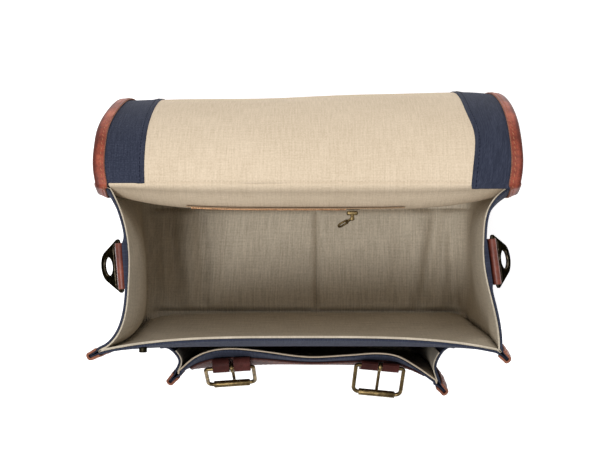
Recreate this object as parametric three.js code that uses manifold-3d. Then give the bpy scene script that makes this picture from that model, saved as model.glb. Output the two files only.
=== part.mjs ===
// Canvas camera bag, standing open with its flap thrown back over the rear.
// Millimetres, +Z up, front towards -Y. The origin is the middle of the base, on the ground.
import * as THREE from 'three';
import { mergeVertices } from 'three/addons/utils/BufferGeometryUtils.js';
import Module from 'manifold-3d';

const wasm = await Module();
wasm.setup();

// Thickness of each material, and the clearance between neighbouring pieces
const CANVAS = 1.8;
const LINING = 1.0;
const FACING = 1.4;
const BINDING = 1.4;
const GAP = 0.3;

// Body
const RIM_HEIGHT = 250;
const BACK_SEAM_TOP = 243;
const BASE_HALF_WIDTH = 162;
const CORNER_RADIUS = 28;
const BASE_SEAM_X = 10;
const FRONT_CURVE = 3.4;
const BACK_CURVE = 4;
const SIDE_CURVE = 2.8;
const BASE_CURVE = 8;

// Outward seams: half the room between the two cloths, and how far the cloth runs into the binding
const SEAM_ROOM = 1.5;
const FLANGE = 10;
const BINDING_START = 3.4;
const FLANGE_HEIGHT = 5.7;
const FRONT_TILT_AT_RIM = { left: 28, right: 46 };
const BACK_TILT_AT_RIM = 12;
const TILT_AT_CORNER = 62;

// Flap
const HINGE_Y = 66;
const HINGE_GAP = 0.7;
const FLAP_HALF_WIDTH = 168;
const FLAP_LENGTH = 285;
const FLAP_FLAT = 5;
const FLAP_REACH = 77.3;
const FLAP_SKEW = 4.6;
const FLAP_DROP = 150;
const FLAP_CORNER = 34;
const FACING_INNER = 130;
const FLAP_BINDING_LEG = 6.6;

// Front pocket
const POCKET_TOP = 188;
const POCKET_BOTTOM = 28;
const POCKET_HALF_WIDTH = 109;
const POCKET_RADIUS = 20;
const POCKET_EASE = 60;
const POCKET_BODY_Y = -90;
const POCKET_BODY_BOW = 5;
const POCKET_TILT_AT_RIM = 48;
const POCKET_TILT_AT_FOOT = 62;
const POCKET_BAND = 1.6;

// Buckles
const BUCKLE_Z = 182;
const BUCKLE_TAB_WIDTH = 32;
const BUCKLE_BAR = 1.7;
const BUCKLE_HALF_WIDTH = 20.3;
const BUCKLE_LENGTH = 27;
const BUCKLE_CORNER = 4.6;
const ROLLER_LENGTH = 31;
const ROLLER_RADIUS = 2.9;
const PRONG_WIDTH = 2.6;
const PRONG_LENGTH = 30.5;

// Strap rings
const RING_Z = 236;
const RING_PLATE = 2.4;
const RING_BAR = 1.2;
const RING_TAB_WIDTH = 37;

const lerp = THREE.MathUtils.lerp;
const rad = THREE.MathUtils.degToRad;
const vec = (x, y, z) => new THREE.Vector3(x, y, z);

// The body by height: where the corner seams stand, and how far each wall is drawn in at its middle
const BODY = [
  { z: 0, seamX: 162, frontY: -64, backY: 60, frontIn: 0, sideIn: 1, backIn: 0 },
  { z: 60, seamX: 162, frontY: -65, backY: 59, frontIn: -1, sideIn: 6, backIn: 2 },
  { z: 120, seamX: 161.5, frontY: -66, backY: 58, frontIn: 0, sideIn: 16, backIn: 4.5 },
  { z: 190, seamX: 160, frontY: -66.5, backY: 58, frontIn: 1, sideIn: 20.5, backIn: 9.5 },
  { z: 225, seamX: 158.5, frontY: -66.5, backY: 58, frontIn: 4.6, sideIn: 19.5, backIn: 12 },
  { z: 250, seamX: 157, frontY: -66, backY: 58, frontIn: 10.5, sideIn: 18, backIn: -5 },
];

// How far the front wall leans over to the left, by height
const FRONT_LEAN = [
  { z: 0, x: 0 },
  { z: 120, x: 0 },
  { z: 190, x: -1.2 },
  { z: 250, x: -6.2 },
];

// The wavy mouth of the front pocket, from its left corner to its right one
const POCKET_RIM = [
  { x: -109, y: -91.5 },
  { x: -95, y: -79.5 },
  { x: -80, y: -73.5 },
  { x: -62, y: -72 },
  { x: -40, y: -74 },
  { x: 0, y: -79 },
  { x: 35, y: -77.5 },
  { x: 60, y: -76 },
  { x: 76, y: -78.5 },
  { x: 92, y: -87.5 },
  { x: 109, y: -99.5 },
];

// The pocket gusset across its width: share of the way from the wall to the seam, and how far outwards
const POCKET_GUSSET = [
  { across: 0, outwards: 15 },
  { across: 0, outwards: 9 },
  { across: 0.2, outwards: 2.6 },
  { across: 0.58, outwards: -2 },
];

// A row of a table at any value of its first column, on a smooth curve through the rows
function rowAt(table, key, value) {
  const last = table.length - 1;
  let i = 0;
  while (i < last - 1 && value > table[i + 1][key]) i += 1;
  const a = table[i];
  const b = table[i + 1];
  const before = table[Math.max(i - 1, 0)];
  const after = table[Math.min(i + 2, last)];
  const span = b[key] - a[key];
  const t = THREE.MathUtils.clamp((value - a[key]) / span, 0, 1);
  const row = {};
  for (const column of Object.keys(a)) {
    const slopeA = ((b[column] - before[column]) / (b[key] - before[key])) * span;
    const slopeB = ((after[column] - a[column]) / (after[key] - a[key])) * span;
    const rise = b[column] - a[column];
    const bend = slopeA + slopeB - 2 * rise;
    row[column] = a[column] + t * (slopeA + t * (rise - slopeA + (t - 1) * bend));
  }
  return row;
}

// A closed mesh from its corner points and triangles, turned so that its faces point outwards
function closedMesh(points, triangles) {
  let volume = 0;
  for (const [a, b, c] of triangles) {
    volume += points[a].dot(points[b].clone().cross(points[c]));
  }
  const facing = volume < 0 ? triangles.map(([a, b, c]) => [a, c, b]) : triangles;
  const geometry = new THREE.BufferGeometry().setFromPoints(points);
  geometry.setIndex(facing.flat());
  return geometry;
}

// A sheet of quads on a grid of rows and columns
function gridSheet(rows) {
  const width = rows[0].length;
  const faces = [];
  for (let j = 0; j + 1 < rows.length; j += 1) {
    for (let i = 0; i + 1 < width; i += 1) {
      const corner = j * width + i;
      faces.push([corner, corner + 1, corner + width + 1, corner + width]);
    }
  }
  return { points: rows.flat(), faces };
}

const faceNormal = ({ points }, [a, b, c, d]) => points[c]
  .clone()
  .sub(points[a])
  .cross(points[d].clone().sub(points[b]))
  .normalize();

// The same sheet, turned so that its faces look towards a direction on the whole
function turnedTowards(sheet, direction) {
  const total = vec(0, 0, 0);
  for (const face of sheet.faces) total.add(faceNormal(sheet, face));
  if (total.dot(direction) >= 0) return sheet;
  return { points: sheet.points, faces: sheet.faces.map(([a, b, c, d]) => [a, d, c, b]) };
}

// A sheet given thickness, from one height over its surface to another
const MITRE_LIMIT = 0.6;
function thicken(sheet, low, high) {
  const { points, faces } = sheet;
  const touching = points.map(() => []);
  for (const face of faces) {
    const normal = faceNormal(sheet, face);
    for (const p of face) touching[p].push(normal);
  }
  const raise = touching.map((normals) => {
    const mean = vec(0, 0, 0);
    for (const normal of normals) mean.add(normal);
    mean.normalize();
    const share = normals.reduce((sum, normal) => sum + normal.dot(mean), 0) / normals.length;
    return mean.divideScalar(Math.max(share, MITRE_LIMIT));
  });
  const at = (height) => points.map((point, p) => point.clone().addScaledVector(raise[p], height));
  const count = points.length;
  const triangles = [];
  const edges = new Map();
  for (const face of faces) {
    const [a, b, c, d] = face;
    triangles.push([a, b, c], [a, c, d]);
    triangles.push([a + count, c + count, b + count], [a + count, d + count, c + count]);
    face.forEach((from, k) => edges.set(`${from} ${face[(k + 1) % 4]}`, [from, face[(k + 1) % 4]]));
  }
  for (const [from, to] of edges.values()) {
    if (edges.has(`${to} ${from}`)) continue;
    triangles.push([to, from, from + count], [to, from + count, to + count]);
  }
  return closedMesh([...at(high), ...at(low)], triangles);
}

// A closed outline carried along stations, each with an origin and the outline's two axes there.
// Its cells are split from the near edge to the far one, or the other way, to match the cloth it covers.
function sweep(stations, outline, { closed = false, nearToFar = true } = {}) {
  const size = outline.length;
  const points = stations.flatMap(({ origin, u, v }) => outline.map(([a, b]) => origin
    .clone()
    .addScaledVector(u, a)
    .addScaledVector(v, b)));
  const triangles = [];
  const spans = closed ? stations.length : stations.length - 1;
  for (let s = 0; s < spans; s += 1) {
    const here = s * size;
    const next = ((s + 1) % stations.length) * size;
    for (let i = 0; i < size; i += 1) {
      const j = (i + 1) % size;
      if ((outline[i][0] <= outline[j][0]) === nearToFar) {
        triangles.push([here + i, here + j, next + j], [here + i, next + j, next + i]);
      } else {
        triangles.push([here + i, here + j, next + i], [here + j, next + j, next + i]);
      }
    }
  }
  if (!closed) {
    const flat = outline.map(([a, b]) => new THREE.Vector2(a, b));
    const end = (stations.length - 1) * size;
    const turned = THREE.ShapeUtils.isClockWise(flat);
    for (const [a, b, c] of THREE.ShapeUtils.triangulateShape(flat, [])) {
      const cap = turned ? [a, b, c] : [a, c, b];
      triangles.push(cap, [...cap].reverse().map((p) => p + end));
    }
  }
  return closedMesh(points, triangles);
}

// A flat outline with holes, given depth about its own plane
function slab(shape, depth, segments = 8) {
  const geometry = new THREE.ExtrudeGeometry(shape, { depth, bevelEnabled: false, curveSegments: segments });
  return geometry.translate(0, 0, -depth / 2);
}

// Axes that lay an outline drawn in x and y into the bag's side view, with its depth along X
const SIDE_VIEW = new THREE.Matrix4().makeBasis(vec(0, 1, 0), vec(0, 0, 1), vec(1, 0, 0));
// Axes that lay an outline drawn in x and y into the bag's front view, with its depth along Y
const FRONT_VIEW = new THREE.Matrix4().makeBasis(vec(1, 0, 0), vec(0, 0, 1), vec(0, -1, 0));

function manifoldOf(geometry) {
  const bare = geometry.clone();
  bare.deleteAttribute('normal');
  bare.deleteAttribute('uv');
  const merged = mergeVertices(bare, 1e-4);
  return new wasm.Manifold(new wasm.Mesh({
    numProp: 3,
    vertProperties: new Float32Array(merged.attributes.position.array),
    triVerts: new Uint32Array(merged.index.array),
  }));
}

function geometryOf(manifold) {
  const mesh = manifold.getMesh();
  const geometry = new THREE.BufferGeometry();
  geometry.setAttribute('position', new THREE.BufferAttribute(mesh.vertProperties, 3));
  geometry.setIndex(new THREE.BufferAttribute(mesh.triVerts, 1));
  return geometry;
}

// Stations down one side of a U, across its bottom and up the other side
const SIDE_STOPS = [0, 0.05, 0.16, 0.36, 0.57, 0.79, 1];
const ARC_STEPS = 4;

function uStations(form) {
  const { top, bottom, halfWidth, radius, sideStops, bottomStops, widthAt } = form;
  const left = [];
  for (const stop of sideStops) {
    const z = lerp(top, bottom + radius, stop);
    left.push({ x: -halfWidth, z, outX: -1, outZ: 0 });
  }
  for (let k = 1; k <= ARC_STEPS; k += 1) {
    const angle = ((Math.PI / 2) * k) / ARC_STEPS;
    const outX = -Math.cos(angle);
    const outZ = -Math.sin(angle);
    const x = radius - halfWidth + radius * outX;
    left.push({ x, z: bottom + radius + radius * outZ, outX, outZ });
  }
  const middle = bottomStops.map((x) => ({ x, z: bottom, outX: 0, outZ: -1 }));
  const right = [...left].reverse().map(({ x, z, outX, outZ }) => ({ x: -x, z, outX: -outX, outZ }));
  return [...left, ...middle, ...right].map(({ x, z, outX, outZ }) => ({
    x: x * (widthAt(z) / halfWidth),
    z,
    out: vec(outX, 0, outZ),
  }));
}

// The seam at each station: its point, the way the flange runs, and the side on which the panel lies
function seamAlong(stations, yAt, tiltAt, forward) {
  return stations.map(({ x, z, out }) => {
    const tilt = rad(tiltAt(z, out));
    const flange = out.clone().multiplyScalar(Math.cos(tilt)).addScaledVector(forward, Math.sin(tilt));
    const side = out.clone().multiplyScalar(-Math.sin(tilt)).addScaledVector(forward, Math.cos(tilt));
    return { point: vec(x, yAt(x, z), z), out, flange, side };
  });
}

// A panel inside a U-shaped seam: a grid of rows from its top edge down, and the flange round it
function panelRows(seam, surface) {
  const rowCount = SIDE_STOPS.length - 1 + ARC_STEPS / 2;
  const end = seam.length - 1;
  const edge = seam.map(({ point, side }) => point.clone().addScaledVector(side, SEAM_ROOM));
  const bottom = seam.slice(rowCount, end - rowCount + 1).map(({ point }) => point);
  const reach = bottom[bottom.length - 1].x;
  const rows = [];
  for (let j = 0; j <= rowCount; j += 1) {
    const b = j / rowCount;
    const leftPoint = seam[j].point;
    const rightPoint = seam[end - j].point;
    rows.push(bottom.map((below, i) => {
      if (i === 0) return edge[j];
      if (i === bottom.length - 1) return edge[end - j];
      if (j === rowCount) return edge[rowCount + i];
      const a = i / (bottom.length - 1);
      const level = lerp(leftPoint.z, rightPoint.z, a) + b * (below.z - bottom[0].z);
      const wide = lerp((rightPoint.x - leftPoint.x) / (2 * reach), 1, b * b);
      const x = below.x * wide + ((leftPoint.x + rightPoint.x) / 2) * (1 - b * b);
      return vec(x, surface(x, level), level);
    }));
  }
  return rows;
}

function withFlange(rows, seam, nearToFar) {
  const rowCount = rows.length - 1;
  const end = seam.length - 1;
  const width = rows[0].length;
  const sheet = gridSheet(rows);
  const inner = seam.map((_, k) => {
    if (k <= rowCount) return k * width;
    if (k >= end - rowCount) return (end - k) * width + width - 1;
    return rowCount * width + (k - rowCount);
  });
  const outer = seam.map(({ point, side, flange }) => {
    sheet.points.push(point.clone().addScaledVector(side, SEAM_ROOM).addScaledVector(flange, FLANGE));
    return sheet.points.length - 1;
  });
  for (let k = 0; k < end; k += 1) {
    const face = [outer[k], inner[k], inner[k + 1], outer[k + 1]];
    sheet.faces.push(nearToFar ? [...face.slice(1), face[0]] : face);
  }
  return { sheet, outer };
}

// The U-shaped leather binding over a seam flange
const BINDING_CLEAR = 0.8;
const BINDING_NOSE = 0.5;
const BINDING_INNER = SEAM_ROOM + CANVAS + BINDING_CLEAR;
const bindingOutline = (low, high, from, to) => [
  [from, low],
  [to, low],
  [to, high],
  [from, high],
  [from, high + BINDING],
  [to + BINDING, high + BINDING * BINDING_NOSE],
  [to + BINDING, low - BINDING * BINDING_NOSE],
  [from, low - BINDING],
];
const seamBinding = (seam, nearToFar) => sweep(
  seam.map(({ point, flange, side }) => ({ origin: point, u: flange, v: side })),
  bindingOutline(-BINDING_INNER, BINDING_INNER, BINDING_START, FLANGE + BINDING_CLEAR),
  { nearToFar },
);

// Meshes and their materials
const bag = new THREE.Group();
bag.name = 'canvas_camera_bag';
const material = (color, roughness, metalness) => new THREE.MeshStandardMaterial(
  { color, roughness, metalness },
);
const navy = () => material('#3a3f52', 0.92, 0);
const beige = () => material('#d3bf9f', 0.95, 0);
const tan = () => material('#8a4631', 0.55, 0);
const oxblood = () => material('#5f2e28', 0.5, 0);
const brass = () => material('#6b5530', 0.4, 1);
const bronze = () => material('#4b4435', 0.45, 1);
const copper = () => material('#b08055', 0.5, 0.6);

function add(name, geometry, mat, parent = bag) {
  const mesh = new THREE.Mesh(geometry, mat);
  mesh.name = name;
  parent.add(mesh);
  return mesh;
}

// Body seams
const bodyAt = (z) => rowAt(BODY, 'z', z);
const drawn = (share, curve) => 1 - Math.min(Math.abs(share), 1) ** curve;
const bodyBottom = [-86, -38, BASE_SEAM_X, 52, 93];
const bodyForm = {
  bottom: FLANGE_HEIGHT,
  halfWidth: BASE_HALF_WIDTH,
  radius: CORNER_RADIUS,
  sideStops: SIDE_STOPS,
  bottomStops: bodyBottom,
  widthAt: (z) => bodyAt(z).seamX,
};
const FRONT = vec(0, -1, 0);
const BACK = vec(0, 1, 0);
const tiltFrom = (atRim) => (z, out) => {
  const down = 1 - THREE.MathUtils.clamp((z - FLANGE_HEIGHT) / (RIM_HEIGHT - FLANGE_HEIGHT), 0, 1);
  return lerp(lerp(atRim, TILT_AT_CORNER, down), 90, -out.z);
};
const frontTilt = (z, out) => {
  const right = (out.x + 1) / 2;
  return tiltFrom(lerp(FRONT_TILT_AT_RIM.left, FRONT_TILT_AT_RIM.right, right))(z, out);
};
const frontLean = (z) => rowAt(FRONT_LEAN, 'z', z).x;
const leaning = (station) => ({ ...station, x: station.x + frontLean(station.z) });
const frontSeam = seamAlong(
  uStations({ ...bodyForm, top: RIM_HEIGHT }).map(leaning),
  (x, z) => bodyAt(z).frontY,
  frontTilt,
  FRONT,
);
const backSeam = seamAlong(
  uStations({ ...bodyForm, top: BACK_SEAM_TOP }),
  (x, z) => bodyAt(z).backY,
  tiltFrom(BACK_TILT_AT_RIM),
  BACK,
);

// How far a panel stands off the seam line, towards its own side
const seamShift = (tilt) => SEAM_ROOM * Math.cos(rad(tilt));

// Front panel and its lining
function frontY(x, z) {
  const row = bodyAt(z);
  const share = THREE.MathUtils.clamp((x - frontLean(z)) / row.seamX, -1, 1);
  const tilt = frontTilt(z, vec(share, 0, 0));
  return row.frontY + row.frontIn * drawn(share, FRONT_CURVE) - seamShift(tilt);
}
const frontRows = panelRows(frontSeam, frontY);
const frontSheet = turnedTowards(withFlange(frontRows, frontSeam, false).sheet, FRONT);
add('front_panel', thicken(frontSheet, 0, CANVAS), navy());
const frontInside = turnedTowards(gridSheet(frontRows), FRONT);
add('lining_front', thicken(frontInside, -GAP - LINING, -GAP), beige());

// Back panel: its top rows bend over backwards to the hinge line of the flap
function backY(x, z) {
  const row = bodyAt(z);
  const tilt = tiltFrom(BACK_TILT_AT_RIM)(z, vec(1, 0, 0));
  return row.backY - row.backIn * drawn(x / row.seamX, BACK_CURVE) + seamShift(tilt);
}
const BEND_STOPS = [1, 0.72, 0.42];
const BEND_LEAN = 0.42;
const backRows = panelRows(backSeam, backY);
const bendRows = BEND_STOPS.map((t) => backRows[0].map((start) => {
  const lean = BEND_LEAN * drawn(start.x / backRows[0][0].x, BACK_CURVE);
  const rise = RIM_HEIGHT - start.z;
  const control = start.y + lean * rise;
  const y = (1 - t) ** 2 * start.y + 2 * t * (1 - t) * control + t * t * HINGE_Y;
  return vec(start.x, y, start.z + rise * (1 - (1 - t) ** 2));
}));
const backAll = withFlange(backRows, backSeam, true);
function withBend({ sheet, outer }, width) {
  let below = { left: outer[0], right: outer[outer.length - 1], first: 0 };
  for (const row of [...bendRows].reverse()) {
    const first = sheet.points.length;
    sheet.points.push(...row);
    for (let i = 0; i + 1 < width; i += 1) {
      sheet.faces.push([first + i, first + i + 1, below.first + i + 1, below.first + i]);
    }
    const left = sheet.points.length;
    sheet.points.push(row[0].clone().setX(-FLAP_HALF_WIDTH), row[width - 1].clone().setX(FLAP_HALF_WIDTH));
    sheet.faces.push([left, first, below.first, below.left]);
    sheet.faces.push([first + width - 1, left + 1, below.right, below.first + width - 1]);
    below = { left, right: left + 1, first };
  }
  return sheet;
}
const backSheet = withBend(backAll, backRows[0].length);
const backFacing = vec(0, 1, -0.2);
add('back_panel', thicken(turnedTowards(backSheet, backFacing), 0, CANVAS), navy());
const backInside = turnedTowards(gridSheet([...bendRows, ...backRows]), backFacing);
add('lining_back', thicken(backInside, -GAP - LINING, -GAP), beige());

// Side gussets: each runs down one side and across half the base. Where its fold lies across it, and its
// share of the table's depth
const GUSSETS = {
  left: { fold: 0.48, depth: 1.02 },
  right: { fold: 0.62, depth: 0.87 },
};
const gussetOf = (x) => (x < 0 ? GUSSETS.left : GUSSETS.right);
function gussetBow(t, fold, curve) {
  const skew = Math.log(0.5) / Math.log(fold);
  return drawn(2 * t ** skew - 1, curve);
}
const ACROSS_STOPS = [0, 0.14, 0.31, 0.5, 0.69, 0.86, 1];
const BASE_DROP = FLANGE_HEIGHT - SEAM_ROOM - CANVAS;
function gussetRow(k, shift, flanges) {
  const front = frontSeam[k];
  const back = backSeam[k];
  const down = -front.out.z;
  const gusset = gussetOf(front.point.x);
  const inward = lerp(bodyAt(front.point.z).sideIn * gusset.depth, -BASE_DROP, down);
  const curve = lerp(SIDE_CURVE, BASE_CURVE, down);
  const fold = lerp(gusset.fold, 0.5, down);
  const at = ({ point, side, flange }, reach) => point
    .clone()
    .addScaledVector(side, -SEAM_ROOM)
    .addScaledVector(flange, reach);
  const row = ACROSS_STOPS.map((t) => at(front, 0)
    .lerp(at(back, 0), t)
    .addScaledVector(front.out, -inward * gussetBow(t, fold, curve)));
  const whole = flanges ? [at(front, FLANGE), ...row, at(back, FLANGE)] : row;
  return whole.map((point) => point.setX(point.x + shift));
}
const baseSeam = SIDE_STOPS.length + ARC_STEPS + bodyBottom.indexOf(BASE_SEAM_X);
function gussetSheet(from, to, seamEnd, flanges) {
  const rows = [];
  for (let k = from; k <= to; k += 1) {
    const shift = k === baseSeam ? seamEnd : 0;
    rows.push(gussetRow(k, shift, flanges));
  }
  return gridSheet(rows);
}
const lastStation = frontSeam.length - 1;
for (const [name, from, to, sign] of [['left', 0, baseSeam, -1], ['right', baseSeam, lastStation, 1]]) {
  const outwards = vec(sign, 0, -1);
  const shell = turnedTowards(gussetSheet(from, to, (sign * GAP) / 2, true), outwards);
  add(`side_gusset_${name}`, thicken(shell, 0, CANVAS), navy());
  const inside = turnedTowards(gussetSheet(from, to, (sign * GAP) / 2, false), outwards);
  add(`lining_gusset_${name}`, thicken(inside, -GAP - LINING, -GAP), beige());
}

// Leather bindings of the two body seams
add('front_binding', seamBinding(frontSeam, false), tan());
add('back_binding', seamBinding(backSeam, true), tan());

// Flap: its run back from the hinge, over a quarter ellipse and straight down behind the bag.
// It hangs askew, further out at its right end
const flapSkew = (x) => (FLAP_SKEW * x) / FLAP_HALF_WIDTH;
const ELLIPSE_STEPS = 60;
const flapCurve = [{ along: 0, y: HINGE_Y + HINGE_GAP, z: RIM_HEIGHT }];
function extendFlap(y, z) {
  const last = flapCurve[flapCurve.length - 1];
  flapCurve.push({ along: last.along + Math.hypot(y - last.y, z - last.z), y, z });
}
extendFlap(HINGE_Y + FLAP_FLAT, RIM_HEIGHT);
for (let k = 1; k <= ELLIPSE_STEPS; k += 1) {
  const angle = ((Math.PI / 2) * k) / ELLIPSE_STEPS;
  const y = HINGE_Y + FLAP_FLAT + FLAP_REACH * Math.sin(angle);
  extendFlap(y, RIM_HEIGHT - FLAP_DROP * (1 - Math.cos(angle)));
}
const hangs = flapCurve[flapCurve.length - 1].along;
const FLAP_BACK = HINGE_Y + FLAP_FLAT + FLAP_REACH;
extendFlap(FLAP_BACK, RIM_HEIGHT - FLAP_DROP - (FLAP_LENGTH - hangs));
function flapPoint(x, along) {
  let i = 0;
  while (i < flapCurve.length - 2 && along > flapCurve[i + 1].along) i += 1;
  const a = flapCurve[i];
  const b = flapCurve[i + 1];
  const t = (along - a.along) / (b.along - a.along);
  const y = lerp(a.y, b.y, t);
  const out = Math.max(y - HINGE_Y - FLAP_FLAT, 0) / FLAP_REACH;
  return vec(x, y + out * flapSkew(x), lerp(a.z, b.z, t));
}

// Rows of the flap are shared by its cloth, lining, facing and binding, so that they lie flat on each other
const curveRows = [0, 5, 20, 38, 58, 81, 107, 137, hangs];
const cornerStart = FLAP_LENGTH - FLAP_CORNER;
const facingEnd = FLAP_LENGTH - (FLAP_HALF_WIDTH - FACING_INNER);
const cornerAngles = [0, 1, 2, 3, 4].map((k) => ((Math.PI / 2) * k) / 4);
const cornerAlong = cornerAngles.map((angle) => cornerStart + FLAP_CORNER * Math.sin(angle));
const cornerHalf = cornerAngles.map((angle) => FLAP_HALF_WIDTH - FLAP_CORNER * (1 - Math.cos(angle)));
const flapColumns = [-1, -0.76, -0.5, -0.25, 0, 0.25, 0.5, 0.76, 1];
const flapRows = [...curveRows, ...cornerAlong].map((along, j) => {
  const half = j < curveRows.length ? FLAP_HALF_WIDTH : cornerHalf[j - curveRows.length];
  return flapColumns.map((share) => flapPoint(share * half, along));
});
const flapOutside = vec(0, -1, -1);
const flapSheet = turnedTowards(gridSheet(flapRows), flapOutside);
add('flap', thicken(flapSheet, 0, CANVAS), navy());

const liningHalf = FACING_INNER - GAP;
const flapLiningRows = [...curveRows, facingEnd - GAP];
const flapLiningColumns = [-1, -0.66, -0.33, 0, 0.33, 0.66, 1];
const flapInside = turnedTowards(gridSheet(flapLiningRows.map((along) => flapLiningColumns
  .map((share) => flapPoint(share * liningHalf, along)))), flapOutside);
add('flap_lining', thicken(flapInside, -GAP - LINING, -GAP), beige());

// The edge of the flap as stations, from the left end of the hinge round to the right one
const flapSide = curveRows.map((along) => ({ x: -FLAP_HALF_WIDTH, along, outX: -1, outAlong: 0 }));
const flapArc = cornerAngles.map((angle, k) => ({
  x: -cornerHalf[k],
  along: cornerAlong[k],
  outX: -Math.cos(angle),
  outAlong: Math.sin(angle),
}));
const flapEndStops = [-85, -30, 30, 85];
const flapEnd = flapEndStops.map((x) => ({ x, along: FLAP_LENGTH, outX: 0, outAlong: 1 }));
const mirrored = (list) => [...list].reverse().map((edge) => ({ ...edge, x: -edge.x, outX: -edge.outX }));
const flapEdge = [...flapSide, ...flapArc, ...flapEnd, ...mirrored(flapArc), ...mirrored(flapSide)];

const FACING_ROUND = 1;
function facingInner({ x, along, outX, outAlong }) {
  if (along <= hangs) return flapPoint(Math.sign(x) * FACING_INNER, along);
  const half = FACING_INNER - FACING_ROUND;
  const side = Math.sign(x);
  const inX = outAlong < 1 ? side * half + FACING_ROUND * outX : side * Math.min(Math.abs(x), half);
  return flapPoint(inX, facingEnd - FACING_ROUND + FACING_ROUND * outAlong);
}
const facingSheet = turnedTowards(gridSheet([
  flapEdge.map(({ x, along }) => flapPoint(x, along)),
  flapEdge.map(facingInner),
]), flapOutside);
add('flap_facing', thicken(facingSheet, -GAP - FACING, -GAP), navy());

// The flap's binding starts on the bend of the back panel and follows the edge all the way round
function flapAxes(x, along) {
  const step = 0.5;
  const before = flapPoint(x, Math.max(along - step, 0));
  const after = flapPoint(x, Math.min(along + step, FLAP_LENGTH));
  const run = after.sub(before).normalize();
  const across = flapPoint(x + step, along).sub(flapPoint(x - step, along)).normalize();
  return { run, across, normal: run.clone().cross(across).normalize() };
}
function bendEdge(sign) {
  const { y, z } = bendRows[1][0];
  const angle = Math.asin((z - BACK_SEAM_TOP) / (RIM_HEIGHT - BACK_SEAM_TOP));
  return {
    origin: vec(sign * FLAP_HALF_WIDTH, y, z),
    u: vec(sign, 0, 0),
    v: vec(0, Math.cos(angle), -Math.sin(angle)),
  };
}
const flapStations = flapEdge.map(({ x, along, outX, outAlong }) => {
  const { run, across, normal } = flapAxes(x, along);
  const u = across.multiplyScalar(outX).addScaledVector(run, outAlong);
  return { origin: flapPoint(x, along), u, v: normal };
});
add('flap_binding', sweep(
  [bendEdge(-1), ...flapStations, bendEdge(1)],
  bindingOutline(-GAP - FACING - GAP, CANVAS + GAP, -FLAP_BINDING_LEG, GAP),
), tan());

// Zip along the back wall's lining
const ZIP_Z = 226;
const ZIP_STOPS = [-98, -70, -44, -20, 4, 28, 54, 78];
const ZIP_SEAT = 0.28;
const ZIP_TAPE = { half: 5.5, depth: 0.8 };
const ZIP_TEETH = { half: 2.4, depth: 2.2 };
const zipFace = (x) => backY(x, ZIP_Z) - GAP - LINING + ZIP_SEAT;
const zipOutline = [
  [-ZIP_TAPE.half, 0],
  [ZIP_TAPE.half, 0],
  [ZIP_TAPE.half, -ZIP_TAPE.depth],
  [ZIP_TEETH.half, -ZIP_TAPE.depth],
  [ZIP_TEETH.half, -ZIP_TEETH.depth],
  [-ZIP_TEETH.half, -ZIP_TEETH.depth],
  [-ZIP_TEETH.half, -ZIP_TAPE.depth],
  [-ZIP_TAPE.half, -ZIP_TAPE.depth],
];
add('zip_tape', sweep(
  ZIP_STOPS.map((x) => ({ origin: vec(x, zipFace(x), ZIP_Z), u: vec(0, 0, 1), v: BACK })),
  zipOutline,
), copper());

// Slider with two lugs and a pin, and the pull that swings on the pin
const SLIDER_X = 36;
const SLIDER = { width: 9, depth: 3.4, height: 8.4 };
const LUG = { width: 3, depth: 4.6, height: 1.4, apart: 5.6, out: 1.9 };
const PIN = { radius: 0.8, length: 6, out: 2.6 };
const PULL_EYE = { radius: 1.9, bore: 1.15, height: 3.4 };
const PULL = { neck: 1.3, shoulder: 3.6, half: 2.9, length: 10.6, slot: 1.4, slotFrom: 6.4 };
const PULL_DEPTH = 1.3;
const PULL_REST = 30;
const sliderY = zipFace(SLIDER_X) - ZIP_TEETH.depth - GAP - SLIDER.depth / 2;
const zipGroup = new THREE.Group();
zipGroup.position.set(SLIDER_X, sliderY, ZIP_Z);
bag.add(zipGroup);
const pinY = -SLIDER.depth / 2 - PIN.out;
const block = (x, y, z, at) => manifoldOf(new THREE.BoxGeometry(x, y, z).translate(at.x, at.y, at.z));
const upright = (radius, height, at) => manifoldOf(new THREE.CylinderGeometry(radius, radius, height, 12)
  .rotateX(Math.PI / 2)
  .translate(at.x, at.y, at.z));
const lug = (z) => block(LUG.width, LUG.depth, LUG.height, vec(0, -SLIDER.depth / 2 - LUG.out, z));
const slider = block(SLIDER.width, SLIDER.depth, SLIDER.height, vec(0, 0, 0))
  .add(lug(LUG.apart / 2))
  .add(lug(-LUG.apart / 2))
  .add(upright(PIN.radius, PIN.length, vec(0, pinY, 0)));
add('zip_slider', geometryOf(slider), brass(), zipGroup);

const pullShape = new THREE.Shape();
pullShape.moveTo(PULL.neck, -PULL.neck);
pullShape.lineTo(PULL.shoulder, -PULL.neck);
pullShape.lineTo(PULL.shoulder + PULL.neck, -PULL.half);
pullShape.lineTo(PULL.length, -PULL.half);
pullShape.absarc(PULL.length, 0, PULL.half, -Math.PI / 2, Math.PI / 2, false);
pullShape.lineTo(PULL.shoulder + PULL.neck, PULL.half);
pullShape.lineTo(PULL.shoulder, PULL.neck);
pullShape.lineTo(PULL.neck, PULL.neck);
pullShape.closePath();
const pullHole = new THREE.Path();
pullHole.moveTo(PULL.slotFrom, -PULL.slot);
pullHole.lineTo(PULL.length, -PULL.slot);
pullHole.absarc(PULL.length, 0, PULL.slot, -Math.PI / 2, Math.PI / 2, false);
pullHole.lineTo(PULL.slotFrom, PULL.slot);
pullHole.closePath();
pullShape.holes.push(pullHole);
const pullBore = upright(PULL_EYE.bore, PIN.length, vec(0, 0, 0));
const pullEye = upright(PULL_EYE.radius, PULL_EYE.height, vec(0, 0, 0)).subtract(pullBore);
const pullPlate = manifoldOf(slab(pullShape, PULL_DEPTH, 4).applyMatrix4(FRONT_VIEW));
const pullGroup = new THREE.Group();
pullGroup.position.set(0, pinY, 0);
pullGroup.rotation.z = Math.PI + rad(PULL_REST);
zipGroup.add(pullGroup);
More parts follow.
